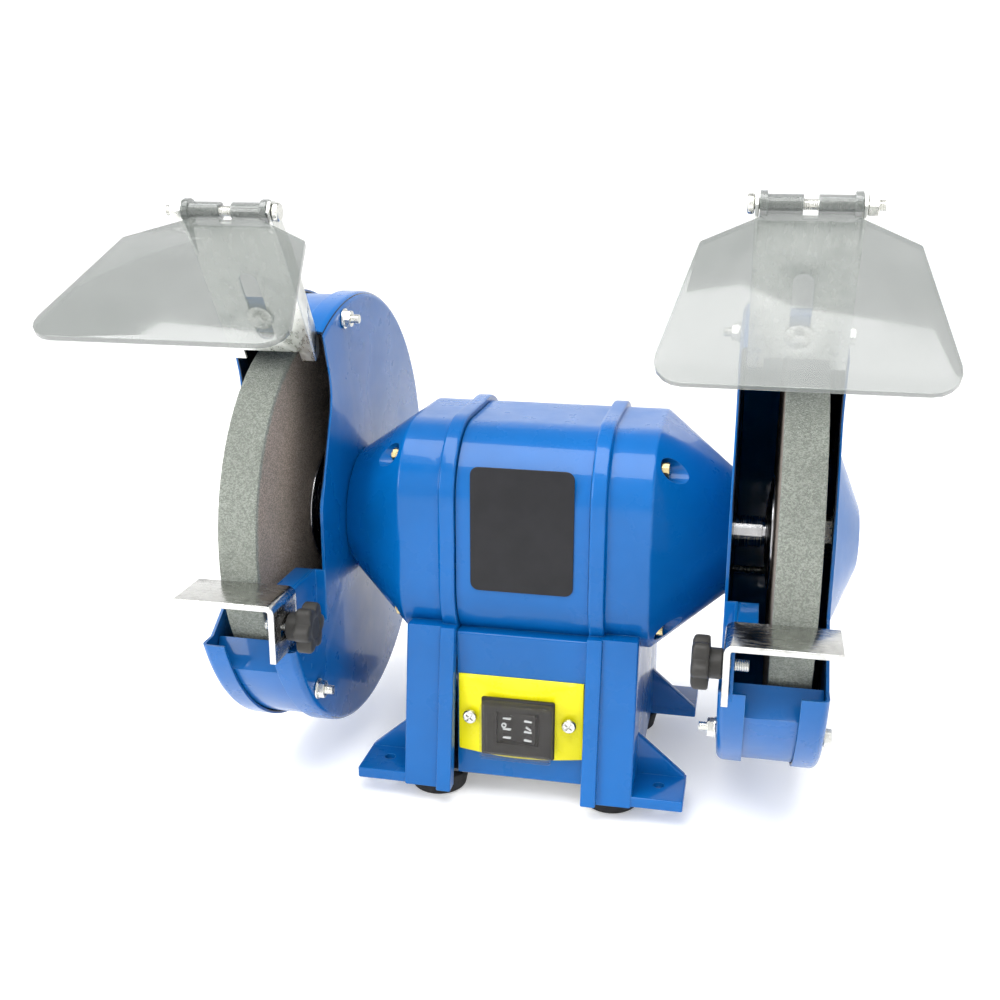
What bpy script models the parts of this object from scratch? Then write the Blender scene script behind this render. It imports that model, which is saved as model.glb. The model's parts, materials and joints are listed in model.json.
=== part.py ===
"""Bench grinder: a double-shafted motor on a cast base, with two 200 mm grinding wheels in sheet guards.

World frame: metres, +Z up, +X to the right of a person who faces the switch, -Y to the front.
The origin is on the bench, under the middle of the whole object. Each piece is its own object. Pieces that
come in a left and a right hand are modelled on the right, at +X, and mirrored.
"""

from math import cos, pi, radians, sin, sqrt

import bmesh
import bpy
from mathutils import Matrix, Vector

# Driving dimensions
SHAFT_Y = 0.0312  # the shaft lies this far behind the middle of the whole object
FOOT_HEIGHT = 0.011
FOOT_RADIUS = 0.016
AXIS_ABOVE_CASTING = 0.130
AXIS_Z = FOOT_HEIGHT + AXIS_ABOVE_CASTING
GAP = 0.0003  # clearance between two pieces that touch
BITE = 0.0001  # how far a cutter goes past a face that it would otherwise only touch
WALL = 0.0035  # casting wall

# Motor housing: a square with rounded corners, then a cone on each end
HOUSING_HALF = 0.058
HOUSING_CORNER = 0.036
RING_HALF = 0.0610
CENTRE_HALF_LENGTH = 0.0338
RING_END_X = 0.0420
BELL_X = 0.0640
BELL_END_X = 0.1005
BELL_END_RADIUS = 0.033
SEAT_X = 0.0860  # where the bearing's seat begins
BASE_FRONT_BOTTOM = 0.0700
BASE_FRONT_TOP = 0.0590
BASE_SIDE_X = 0.0600
BASE_TOP_ABOVE_CASTING = 0.0865
RIB_PROUD = 0.0035
PANEL_FRONT = 0.0565
PANEL_BOTTOM = FOOT_HEIGHT + 0.0022
PANEL_TOP = FOOT_HEIGHT + 0.0835
GLAND_Z = FOOT_HEIGHT + 0.0243

POCKET_RADIUS = 0.0062
POCKET_FLOOR_X = 0.0664
BOLT_OFFSET = 0.0415
BOLT_PLACES = [(y * BOLT_OFFSET, AXIS_Z + z * BOLT_OFFSET) for y in (-1, 1) for z in (-1, 1)]
SWITCH_Z = FOOT_HEIGHT + 0.0360
SWITCH_PIVOT_Y = -0.0590
PLATE_SCREW_X = 0.0260
PLATE_SCREW_Z = SWITCH_Z + 0.0025
ROCKER_TILT = radians(6)

# Mounting lugs
LUG_X = 0.0860
LUG_FRONT = 0.0688
LUG_BACK = 0.0390
LUG_THICKNESS = 0.0058
LUG_HOLE_X = 0.0725
LUG_HOLE_Y = 0.0538
LUG_HOLE_RADIUS = 0.0029
GUSSET_HEIGHT = 0.024
FOOT_X = 0.047
FOOT_Y = 0.046

# Wheels and guards
WHEEL_RADIUS = 0.100
WHEEL_WIDTH = 0.020
WHEEL_X = 0.123
GUARD_X = BELL_END_X + GAP
SHEET = 0.0015
GUARD_RADIUS = 0.1185
GUARD_FLANGE = 0.0125
COVER_X = 0.1503
BAND_RADIUS = GUARD_RADIUS - SHEET - 2 * GAP
GUARD_BOLT_RADIUS = 0.1110
GUARD_BOLT_ANGLES = {"top": radians(103), "front": radians(221), "rear": radians(-30)}
CONE_BASE_RADIUS = 0.052
CONE_TIP_RADIUS = 0.015
CONE_TIP_X = 0.1652
SHAFT_RADIUS = 0.008

# Tool rest: an angle plate clamped on the tab of the inner guard
TAB_X = 0.1060
TAB_TOP = AXIS_Z - 0.0148
TAB_BOTTOM = AXIS_Z - 0.0420
TAB_FRONT = -0.1195
TAB_REAR = -0.0660
REST_TOP = AXIS_Z - 0.0105
REST_THICKNESS = 0.003
REST_FRONT = -0.1300
REST_BACK = -0.1015
REST_OUTER_X = 0.1530
REST_LEG_BOTTOM = AXIS_Z - 0.0395
STUD_Y = -0.1120
STUD_Z = AXIS_Z - 0.0270

# Shield bracket: slides up and down a line that leans forward, away from the wheel
BRACKET_BOTTOM = (-0.0624, AXIS_Z + 0.1001)
BRACKET_LEAN = radians(32)
BRACKET_LENGTH = 0.0609
BRACKET_INNER_X = 0.1046
BRACKET_OUTER_X = 0.1484
BRACKET_SHEET = 0.0015
BRACKET_FLANGE = 0.010
BRACKET_ROOM = BRACKET_FLANGE + 0.0008
SCREW_ALONG = 0.0170
SLOT_BOTTOM = 0.0150
SLOT_TOP = 0.0465
SLOT_HALF_WIDTH = 0.0045
NOTCH_HALF_WIDTH = 0.0145
LEFT_BRACKET_SLIDE = -0.0079
HINGE_Y = -0.1056
HINGE_Z = AXIS_Z + 0.1725
RIGHT_SHIELD_TILT = radians(48.7)
LEFT_SHIELD_TILT = radians(61.3)
SHIELD_THICKNESS = 0.0025
MID_X = (BRACKET_INNER_X + BRACKET_OUTER_X) / 2

SEGMENTS = 24


def clear_scene():
    for obj in list(bpy.data.objects):
        bpy.data.objects.remove(obj)


def make_material(name, colour, roughness, metallic=0.0, alpha=1.0):
    """A Principled material with one colour."""
    made = bpy.data.materials.new(name)
    made.use_nodes = True
    shader = made.node_tree.nodes["Principled BSDF"]
    shader.inputs["Base Color"].default_value = (*colour, 1.0)
    shader.inputs["Roughness"].default_value = roughness
    shader.inputs["Metallic"].default_value = metallic
    shader.inputs["Alpha"].default_value = alpha
    return made


def add_object(name, mesh, material):
    """The mesh as a named object in the grinder's collection."""
    obj = bpy.data.objects.new(name, mesh)
    mesh.materials.clear()
    mesh.materials.append(material)
    GRINDER.objects.link(obj)
    return obj


def evaluated_mesh(obj):
    """The object's mesh with its modifiers applied, in world space."""
    bpy.context.view_layer.update()
    graph = bpy.context.evaluated_depsgraph_get()
    mesh = bpy.data.meshes.new_from_object(obj.evaluated_get(graph))
    mesh.transform(obj.matrix_world)
    return mesh


def weld(mesh, distance=1e-6):
    shape = bmesh.new()
    shape.from_mesh(mesh)
    bmesh.ops.remove_doubles(shape, verts=shape.verts, dist=distance)
    bmesh.ops.recalc_face_normals(shape, faces=shape.faces)
    shape.to_mesh(mesh)
    shape.free()


def bake(obj):
    """Applies the object's place and modifiers to its mesh, and removes the cutters that it used."""
    mesh = evaluated_mesh(obj)
    used = [modifier.object for modifier in obj.modifiers if modifier.type == "BOOLEAN"]
    obj.modifiers.clear()
    obj.data = mesh
    obj.matrix_world = Matrix()
    for helper in used:
        bpy.data.objects.remove(helper)
    return obj


def combine(obj, other, operation):
    """Adds a Boolean with a helper, which leaves the rendered scene."""
    modifier = obj.modifiers.new(operation.title(), "BOOLEAN")
    modifier.operation = operation
    modifier.solver = "EXACT"
    modifier.object = other
    other.hide_render = True
    other.display_type = "WIRE"
    GRINDER.objects.unlink(other)
    CUTTERS.objects.link(other)


def cut(obj, *others):
    for other in others:
        combine(obj, other, "DIFFERENCE")
    return obj


def join(obj, *others):
    for other in others:
        combine(obj, other, "UNION")
    return obj


def box(name, low, high, material):
    """A box between two corners."""
    shape = bmesh.new()
    bmesh.ops.create_cube(shape, size=1.0)
    size = Vector(high) - Vector(low)
    bmesh.ops.scale(shape, vec=size, verts=shape.verts)
    bmesh.ops.translate(shape, vec=(Vector(high) + Vector(low)) / 2, verts=shape.verts)
    mesh = bpy.data.meshes.new(name)
    shape.to_mesh(mesh)
    shape.free()
    return add_object(name, mesh, material)


def along(axis):
    """The turn that takes +Z to the named axis."""
    return {"X": Matrix.Rotation(pi / 2, 4, "Y"), "Y": Matrix.Rotation(-pi / 2, 4, "X"), "Z": Matrix()}[axis]


def rod(name, axis, centre, radius, low, high, material, segments=16, turn=0.0):
    """A cylinder along an axis, from low to high on it, about a centre in the other two coordinates."""
    shape = bmesh.new()
    bmesh.ops.create_cone(
        shape, cap_ends=True, segments=segments, radius1=radius, radius2=radius, depth=high - low
    )
    place = Matrix.Translation(Vector((0, 0, (high + low) / 2)))
    bmesh.ops.transform(shape, matrix=Matrix.Rotation(turn, 4, "Z"), verts=shape.verts)
    bmesh.ops.transform(shape, matrix=along(axis) @ place, verts=shape.verts)
    offset = dict(X=(0, *centre), Y=(centre[0], 0, centre[1]), Z=(*centre, 0))[axis]
    bmesh.ops.translate(shape, vec=offset, verts=shape.verts)
    mesh = bpy.data.meshes.new(name)
    shape.to_mesh(mesh)
    shape.free()
    return add_object(name, mesh, material)


def turned(name, profile, material, centre=(0.0, AXIS_Z), steps=SEGMENTS, closed=False):
    """A profile of (radius, x) points, from high x round the outside to low x, turned about X."""
    mesh = bpy.data.meshes.new(name)
    points = [(radius, 0, height) for radius, height in profile]
    edges = [(i, i + 1) for i in range(len(points) - 1)]
    if closed:
        edges.append((len(points) - 1, 0))
    mesh.from_pydata(points, edges, [])
    obj = add_object(name, mesh, material)
    screw = obj.modifiers.new("Turn", "SCREW")
    screw.angle = 2 * pi
    screw.steps = steps
    screw.render_steps = steps
    screw.use_merge_vertices = True
    screw.merge_threshold = 0.00001
    obj.matrix_world = Matrix.Translation(Vector((0, *centre))) @ along("X")
    mesh = evaluated_mesh(obj)
    weld(mesh)
    obj.modifiers.clear()
    obj.data = mesh
    obj.matrix_world = Matrix()
    return obj


PLANES = {
    "YZ": Matrix(((0, 0, 1, 0), (1, 0, 0, 0), (0, 1, 0, 0), (0, 0, 0, 1))),
    "XZ": Matrix(((1, 0, 0, 0), (0, 0, -1, 0), (0, 1, 0, 0), (0, 0, 0, 1))),
    "XY": Matrix(),
}


def slab(name, plane, outline, low, high, material):
    """An outline in a plane, as a flat curve extruded from low to high along the third axis."""
    curve = bpy.data.curves.new(name, "CURVE")
    curve.dimensions = "2D"
    curve.fill_mode = "BOTH"
    curve.extrude = (high - low) / 2
    spline = curve.splines.new("POLY")
    spline.points.add(len(outline) - 1)
    for point, (u, v) in zip(spline.points, outline):
        point.co = (u, v, 0, 1)
    spline.use_cyclic_u = True
    helper = bpy.data.objects.new(name, curve)
    GRINDER.objects.link(helper)
    mesh = evaluated_mesh(helper)
    bpy.data.objects.remove(helper)
    mesh.transform(PLANES[plane])
    third = {"YZ": Vector((1, 0, 0)), "XZ": Vector((0, 1, 0)), "XY": Vector((0, 0, 1))}[plane]
    mesh.transform(Matrix.Translation(third * (high + low) / 2))
    weld(mesh)
    return add_object(name, mesh, material)


def rounded(corners, radius, steps=4):
    """The outline with each corner replaced by an arc. radius is one number, or one for each corner."""
    count = len(corners)
    radii = radius if isinstance(radius, (list, tuple)) else [radius] * count
    outline = []
    for i, corner in enumerate(corners):
        here = Vector(corner)
        back = Vector(corners[i - 1]) - here
        ahead = Vector(corners[(i + 1) % count]) - here
        if radii[i] <= 0:
            outline.append(tuple(here))
            continue
        half = back.angle(ahead) / 2
        reach = radii[i] / max(sin(half), 1e-6)
        centre = here + (back.normalized() + ahead.normalized()).normalized() * reach
        start = here + back.normalized() * reach * cos(half) - centre
        end = here + ahead.normalized() * reach * cos(half) - centre
        sweep = start.angle_signed(end)
        for step in range(steps + 1):
            turn = -sweep * step / steps
            outline.append(tuple(centre + Matrix.Rotation(turn, 2) @ start))
    return outline


def round_square(half, corner, centre_z=AXIS_Z, count=32):
    """Points of a square with round corners in the YZ plane, evenly spaced by angle."""
    points = []
    for i in range(count):
        angle = 2 * pi * (i + 0.5) / count
        y, z = cos(angle), sin(angle)
        flat = half - corner
        low, high = 0.0, 2 * half
        for _ in range(30):
            middle = (low + high) / 2
            dy, dz = max(abs(y) * middle - flat, 0), max(abs(z) * middle - flat, 0)
            low, high = (middle, high) if sqrt(dy * dy + dz * dz) < corner else (low, middle)
        points.append((y * low, centre_z + z * low))
    return points


def loft(name, sections, material):
    """A closed solid through sections of (x, points), all with the same number of points."""
    count = len(sections[0][1])
    points = [(x, y, z) for x, outline in sections for y, z in outline]
    faces = []
    for ring in range(len(sections) - 1):
        for i in range(count):
            a, b = ring * count + i, ring * count + (i + 1) % count
            faces.append((a, b, b + count, a + count))
    faces.append(tuple(range(count)))
    last = (len(sections) - 1) * count
    faces.append(tuple(range(last, last + count)))
    mesh = bpy.data.meshes.new(name)
    mesh.from_pydata(points, [], faces)
    weld(mesh)
    return add_object(name, mesh, material)


def smooth(obj, angle=radians(35)):
    obj.data.shade_smooth()
    obj.data.set_sharp_from_angle(angle=angle)
    return obj


def set_origin(obj, point):
    """Puts the object's origin on its joint's axis."""
    obj.data.transform(Matrix.Translation(-Vector(point)))
    obj.location = point
    return obj


def both_sides(name, obj):
    """Names the right-hand piece and makes its left-hand twin."""
    obj.name = f"right_{name}"
    mesh = obj.data.copy()
    mesh.transform(Matrix.Scale(-1, 4, Vector((1, 0, 0))))
    mesh.flip_normals()
    twin = add_object(f"left_{name}", mesh, obj.data.materials[0])
    twin.location = (-obj.location.x, obj.location.y, obj.location.z)
    return obj, twin


def polar(radius, angle):
    """A point in the YZ plane about the shaft, the angle counted from the rear over the top."""
    return (radius * cos(angle), AXIS_Z + radius * sin(angle))


def base_outline(bottom, top, low, high):
    """The base seen from the side, wider at its foot."""
    return [(-bottom, low), (bottom, low), (top, high), (-top, high)]


# Castings


def make_centre_housing():
    length = CENTRE_HALF_LENGTH
    outer = loft(
        "centre_housing",
        [(x, round_square(HOUSING_HALF, HOUSING_CORNER)) for x in (-length, length)],
        PAINT,
    )
    inner_half = HOUSING_HALF - WALL
    bore = round_square(inner_half, HOUSING_CORNER - WALL)
    hollow = loft("hollow", [(-length - 0.01, bore), (length + 0.01, bore)], PAINT)
    panel = box("panel", (-length, -PANEL_FRONT, PANEL_BOTTOM), (length, PANEL_FRONT, PANEL_TOP), PAINT)
    room_top = AXIS_Z - HOUSING_HALF - 0.002
    room_front = PANEL_FRONT - WALL
    room = box("room", (-length - 0.01, -room_front, 0), (length + 0.01, room_front, room_top), PAINT)
    window = box("window", (-0.0140, -0.08, SWITCH_Z - 0.0115), (0.0140, -0.04, SWITCH_Z + 0.0115), PAINT)
    screw_holes = [
        rod("screw_hole", "Y", (x, PLATE_SCREW_Z), 0.0021, -0.08, -0.03, PAINT, segments=12)
        for x in (-PLATE_SCREW_X, PLATE_SCREW_X)
    ]
    inlet = rod("inlet", "Y", (0.020, GLAND_Z), 0.0065, 0.04, 0.08, PAINT)
    join(outer, panel)
    cut(outer, hollow, room, window, inlet, *screw_holes)
    return smooth(bake(outer))


def make_end_casting():
    square = round_square(HOUSING_HALF, HOUSING_CORNER)
    ring = round_square(RING_HALF, HOUSING_CORNER + 0.002)
    start = CENTRE_HALF_LENGTH + GAP
    end_round = round_square(BELL_END_RADIUS, BELL_END_RADIUS)
    outer = loft(
        "end_casting",
        [(start, ring), (RING_END_X, ring), (RING_END_X, square), (BELL_X, square), (BELL_END_X, end_round)],
        PAINT,
    )
    inner = round_square(HOUSING_HALF - WALL, HOUSING_CORNER - WALL)
    seat = round_square(0.0200, 0.0200)
    hollow = loft(
        "hollow",
        [(start - 0.01, inner), (BELL_X - 0.012, inner), (SEAT_X, round_square(0.0300, 0.0300)),
         (SEAT_X + BITE, seat), (0.0985, seat)],
        PAINT,
    )
    shaft_hole = rod("shaft_hole", "X", (0, AXIS_Z), SHAFT_RADIUS + 0.0015, 0.09, 0.12, PAINT)
    top = FOOT_HEIGHT + BASE_TOP_ABOVE_CASTING
    flare = base_outline(BASE_FRONT_BOTTOM, BASE_FRONT_TOP, FOOT_HEIGHT, top)
    pillar = slab("pillar", "YZ", flare, start, BASE_SIDE_X, PAINT)
    rib_flare = base_outline(BASE_FRONT_BOTTOM + RIB_PROUD, BASE_FRONT_TOP + RIB_PROUD / 2, FOOT_HEIGHT, top)
    rib = slab("rib", "YZ", rib_flare, start, RING_END_X, PAINT)
    room_top = AXIS_Z - HOUSING_HALF - 0.002
    slope = (BASE_FRONT_BOTTOM - BASE_FRONT_TOP) / BASE_TOP_ABOVE_CASTING
    room_bottom = BASE_FRONT_BOTTOM - WALL + slope * 0.005
    room_upper = room_bottom - slope * (room_top - FOOT_HEIGHT + 0.005)
    room_side = base_outline(room_bottom, room_upper, FOOT_HEIGHT - 0.005, room_top)
    room = slab("room", "YZ", room_side, start - 0.01, BASE_SIDE_X - WALL, PAINT)
    extras, holes = [], []
    for front in (-1, 1):
        low_y, high_y = sorted((front * LUG_FRONT, front * LUG_BACK))
        lug_top = FOOT_HEIGHT + LUG_THICKNESS
        extras.append(box("lug", (BASE_SIDE_X - 0.002, low_y, FOOT_HEIGHT), (LUG_X, high_y, lug_top), PAINT))
        gusset = [
            (BASE_SIDE_X - 0.002, lug_top - 0.001),
            (LUG_X - 0.004, lug_top - 0.001),
            (LUG_X - 0.004, lug_top + 0.001),
            (BASE_SIDE_X - 0.002, lug_top + GUSSET_HEIGHT),
        ]
        inner_edge = sorted((front * LUG_BACK, front * (LUG_BACK + 0.004)))
        extras.append(slab("gusset", "XZ", gusset, *inner_edge, PAINT))
        holes.append(
            rod("hole", "Z", (LUG_HOLE_X, front * LUG_HOLE_Y), LUG_HOLE_RADIUS, 0, 0.03, PAINT, segments=20)
        )
    for y, z in BOLT_PLACES:
        holes.append(rod("pocket", "X", (y, z), POCKET_RADIUS, POCKET_FLOOR_X, 0.11, PAINT, segments=14))
        holes.append(rod("bolt_hole", "X", (y, z), 0.0023, 0.03, 0.08, PAINT, segments=8))
    join(outer, pillar, rib, *extras)
    cut(outer, hollow, room, shaft_hole, *holes)
    return smooth(bake(outer))


# The motor's inside

def make_motor():
    bore_radius = 0.0285
    stack = CENTRE_HALF_LENGTH - 0.010
    section = [(0.0520, stack), (0.0520, -stack), (bore_radius, -stack), (bore_radius, stack)]
    smooth(turned("stator_core", section, STEEL, closed=True))
    coil = turned(
        "winding",
        [(0.0470, stack + 0.016), (0.0490, stack + 0.012), (0.0490, stack + GAP), (0.0310, stack + GAP),
         (0.0310, stack + 0.012), (0.0330, stack + 0.016)],
        COPPER, closed=True,
    )
    both_sides("winding", smooth(coil))
    rotor = turned(
        "rotor_core",
        [(SHAFT_RADIUS + GAP, stack + 0.006), (0.0240, stack + 0.006), (0.0240, stack), (0.0280, stack),
         (0.0280, -stack), (0.0240, -stack), (0.0240, -stack - 0.006), (SHAFT_RADIUS + GAP, -stack - 0.006)],
        STEEL, closed=True,
    )
    set_origin(smooth(rotor), (0, 0, AXIS_Z))
    thin = 0.0062
    shaft = turned(
        "shaft",
        [(0, 0.1610), (thin - 0.001, 0.1610), (thin, 0.1600), (thin, WHEEL_X - 0.006),
         (SHAFT_RADIUS, WHEEL_X - 0.006), (SHAFT_RADIUS, -WHEEL_X + 0.006), (thin, -WHEEL_X + 0.006),
         (thin, -0.1600), (thin - 0.001, -0.1610), (0, -0.1610)],
        BRIGHT, steps=24,
    )
    set_origin(smooth(shaft), (0, 0, AXIS_Z))
    bearing = turned(
        "bearing",
        [(0.0197, 0.0980), (0.0197, 0.0865), (SHAFT_RADIUS + GAP, 0.0865), (SHAFT_RADIUS + GAP, 0.0980)],
        BRIGHT, steps=28, closed=True,
    )
    both_sides("bearing", smooth(bearing))
    names = iter(("lower_front", "upper_front", "lower_rear", "upper_rear"))
    for y, z in BOLT_PLACES:
        name = "through_bolt_" + next(names)
        floor = POCKET_FLOOR_X + GAP
        bolt = rod(name, "X", (y, z), 0.0020, -floor - 0.0045, floor + 0.0028, ZINC, segments=8)
        head = rod("head", "X", (y, z), 0.0040, floor, floor + 0.0037, ZINC, segments=10)
        nut = rod("nut", "X", (y, z), 0.0040, -floor - 0.0034, -floor, ZINC, segments=6)
        smooth(bake(join(bolt, head, nut)))
    place = (0.030, FOOT_HEIGHT + 0.0260)
    capacitor = rod("capacitor", "X", place, 0.0150, -0.0250, 0.0200, BLACK, segments=24)
    smooth(capacitor)


# Base, feet and switch


def make_base():
    side = BASE_SIDE_X - WALL - 0.0005
    front = PANEL_FRONT - WALL - 0.0005
    low, high = FOOT_HEIGHT + 0.0004, FOOT_HEIGHT + 0.0019
    plate = box("base_plate", (-side, -front, low), (side, front, high), STEEL)
    for x, x_name in ((-1, "left"), (1, "right")):
        for y, y_name in ((-1, "front"), (1, "rear")):
            name = f"foot_{y_name}_{x_name}"
            foot = turned(
                name,
                [(0, FOOT_HEIGHT - GAP), (FOOT_RADIUS - 0.0012, FOOT_HEIGHT - GAP),
                 (FOOT_RADIUS, FOOT_HEIGHT - 0.0015), (FOOT_RADIUS - 0.0015, 0.0010),
                 (FOOT_RADIUS - 0.0030, 0.0), (0.0050, 0.0), (0.0050, 0.0040), (0, 0.0040)],
                RUBBER, centre=(0, 0), steps=28,
            )
            foot.data.transform(along("X").inverted())
            foot.data.transform(Matrix.Translation((x * FOOT_X, y * FOOT_Y, 0)))
            smooth(foot)
    return plate


def switch_box(name, half_x, half_z, low_y, high_y, material):
    """A box about the middle of the switch."""
    low = (-half_x, low_y, SWITCH_Z - half_z)
    return box(name, low, (half_x, high_y, SWITCH_Z + half_z), material)


def make_switch():
    front = PANEL_FRONT + GAP
    half_x, low, high = 0.0328, FOOT_HEIGHT + 0.0162, FOOT_HEIGHT + 0.0605
    arc = [(-half_x + 2 * half_x * i / 8, -front - 0.0028 - 0.0030 * sin(pi * i / 8)) for i in range(9)]
    outline = [(half_x, -front), (-half_x, -front)] + arc
    plate = slab("switch_plate", "XY", outline, low, high, YELLOW)
    window = box("window", (-0.0152, -0.08, SWITCH_Z - 0.0127), (0.0152, -0.04, SWITCH_Z + 0.0127), YELLOW)
    holes = [
        rod("hole", "Y", (x, PLATE_SCREW_Z), 0.0021, -0.08, -0.04, YELLOW, segments=12)
        for x in (-PLATE_SCREW_X, PLATE_SCREW_X)
    ]
    cut(plate, window, *holes)
    smooth(bake(plate))
    for x, side in ((-PLATE_SCREW_X, "left"), (PLATE_SCREW_X, "right")):
        face = -front - 0.0028 - 0.0030 * sin(pi * (x + half_x) / (2 * half_x))
        place = (x, PLATE_SCREW_Z)
        screw = rod(f"plate_screw_{side}", "Y", place, 0.0017, -0.0600, -0.0450, ZINC, segments=12)
        head = rod("head", "Y", place, 0.0038, face - 0.0030, face - 0.0007, ZINC, segments=16)
        neck = rod("neck", "Y", place, 0.0017, face - 0.0010, -0.0590, ZINC, segments=12)
        smooth(bake(join(screw, neck, head)))
    face = -front - 0.0062
    bezel = switch_box("switch_body", 0.0192, 0.0160, face - 0.0030, face, BLACK)
    body = switch_box("body", 0.0138, 0.0112, face - 0.0010, -0.0320, BLACK)
    well = switch_box("well", 0.0110, 0.0090, face - 0.0100, -0.0480, BLACK)
    join(bezel, body)
    cut(bezel, well)
    bake(bezel)
    pivot = (0, SWITCH_PIVOT_Y, SWITCH_Z)
    half_width, face_y = 0.0100, -0.0065
    rocker_outline = [
        (half_width, 0.0040), (0, 0.0075), (-half_width, 0.0040),
        (-half_width, face_y), (0, face_y + 0.0017), (half_width, face_y),
    ]
    turn = Matrix.Rotation(-ROCKER_TILT, 2)
    rocker_outline = [tuple(turn @ Vector(point) + Vector((0, SWITCH_PIVOT_Y))) for point in rocker_outline]
    rocker = slab("switch_rocker", "XY", rocker_outline, SWITCH_Z - 0.0084, SWITCH_Z + 0.0084, BLACK)
    set_origin(rocker, pivot)
    cover = switch_box("switch_cover", 0.0188, 0.0156, face - 0.0108, face - 0.0033, CLEAR)
    under = switch_box("under", 0.0175, 0.0143, face - 0.0098, face, CLEAR)
    bake(cut(cover, under))


def make_trim():
    low, high = FOOT_HEIGHT + 0.1080, FOOT_HEIGHT + 0.1725
    corners = [(-0.0262, low), (0.0262, low), (0.0262, high), (-0.0262, high)]
    plate_back = -HOUSING_HALF - GAP
    slab("name_plate", "XZ", rounded(corners, 0.004, 3), plate_back - 0.0006, plate_back, BLACK)
    gland_z = GLAND_Z
    gland = turned(
        "cable_gland",
        [(0.0035, 0.0740), (0.0055, 0.0740), (0.0075, PANEL_FRONT + GAP), (0.0060, PANEL_FRONT + GAP),
         (0.0060, PANEL_FRONT - WALL - GAP), (0.0035, PANEL_FRONT - WALL - GAP)],
        RUBBER, centre=(0, 0), steps=20, closed=True,
    )
    gland.data.transform(Matrix.Rotation(pi / 2, 4, "Z"))
    gland.data.transform(Matrix.Translation((0.020, 0, gland_z)))
    smooth(gland)


# Guards


def mouth_outline(low_edge):
    """What a guard sheet leaves open at the front, down to the points of its lower edge."""
    high = [(-0.3, 0.155), (-0.072, 0.155), (-0.0440, 0.073), (-0.0660, 0.018)]
    high = [(y, AXIS_Z + z) for y, z in high]
    return high + low_edge + [(-0.3, TAB_BOTTOM)]


def make_inner_guard():
    """A pressed dish, its rim towards the wheel. A pad stepped inwards at the front carries the tool rest."""
    inner_radius = GUARD_RADIUS - SHEET
    dish = turned(
        "inner_guard",
        [(0.0105, GUARD_X + SHEET), (inner_radius, GUARD_X + SHEET), (inner_radius, GUARD_X + GUARD_FLANGE),
         (GUARD_RADIUS, GUARD_X + GUARD_FLANGE), (GUARD_RADIUS, GUARD_X + 0.002),
         (GUARD_RADIUS - 0.002, GUARD_X),
         (0.0105, GUARD_X)],
        PAINT, steps=44, closed=True,
    )
    mouth = slab("mouth", "YZ", mouth_outline([(TAB_REAR, TAB_BOTTOM)]), 0.09, 0.2, PAINT)
    cut(dish, mouth, bracket_room(), *guard_holes())
    bake(dish)
    corners = [(TAB_FRONT, TAB_BOTTOM), (TAB_REAR, TAB_BOTTOM), (TAB_REAR, TAB_TOP), (TAB_FRONT, TAB_TOP)]
    pad = slab("pad", "YZ", rounded(corners, [0, 0, 0, 0.004], 3), TAB_X, TAB_X + SHEET, PAINT)
    rim_y = -sqrt(GUARD_RADIUS**2 - (AXIS_Z - TAB_BOTTOM) ** 2) + 0.0020
    lap = 0.0004
    corner = (TAB_X + SHEET, TAB_REAR + SHEET)
    rear_wall = box("rear_wall", (GUARD_X, TAB_REAR - lap, TAB_BOTTOM - lap), (*corner, TAB_TOP), PAINT)
    low_wall = box("low_wall", (GUARD_X, rim_y, TAB_BOTTOM - SHEET), (*corner, TAB_BOTTOM + lap), PAINT)
    shelf_end = (TAB_X + 0.0110, TAB_REAR, TAB_TOP)
    shelf = box("shelf", (TAB_X, TAB_FRONT + 0.012, TAB_TOP - SHEET), shelf_end, PAINT)
    join(dish, pad, rear_wall, low_wall, shelf)
    cut(dish, rod("stud_hole", "X", (STUD_Y, STUD_Z), 0.0034, 0.09, 0.2, PAINT, segments=16))
    return smooth(bake(dish))


def bracket_room():
    """The space that the bracket's channel needs between the two guard sheets."""
    side = [
        bracket_point(-0.04, BRACKET_ROOM), bracket_point(0.06, BRACKET_ROOM),
        (-0.3, AXIS_Z + 0.16), (-0.3, AXIS_Z + 0.06),
    ]
    return slab("bracket_room", "YZ", side, GUARD_X + SHEET - BITE, COVER_X - SHEET + BITE, PAINT)


def guard_holes():
    return [
        rod("bolt_hole", "X", polar(GUARD_BOLT_RADIUS, angle), 0.0028, 0.09, 0.2, PAINT, segments=12)
        for angle in GUARD_BOLT_ANGLES.values()
    ]


def make_outer_cover():
    """The dish that closes the guard outside, with a cone over the shaft nut."""
    inner_radius = GUARD_RADIUS - SHEET
    tip_inside = CONE_TIP_X - SHEET
    cover = turned(
        "outer_cover",
        [(0, CONE_TIP_X), (CONE_TIP_RADIUS, CONE_TIP_X), (CONE_BASE_RADIUS, COVER_X),
         (GUARD_RADIUS - 0.002, COVER_X), (GUARD_RADIUS, COVER_X - 0.002),
         (GUARD_RADIUS, COVER_X - GUARD_FLANGE), (inner_radius, COVER_X - GUARD_FLANGE),
         (inner_radius, COVER_X - SHEET), (CONE_BASE_RADIUS - GAP, COVER_X - SHEET),
         (CONE_TIP_RADIUS - GAP, tip_inside), (0, tip_inside)],
        PAINT, steps=44,
    )
    low_edge = [(-0.0660, AXIS_Z - 0.0200), (-0.0990, TAB_BOTTOM)]
    mouth = slab("mouth", "YZ", mouth_outline(low_edge), 0.09, 0.2, PAINT)
    cut(cover, mouth, bracket_room(), *guard_holes())
    return smooth(bake(cover))


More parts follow.
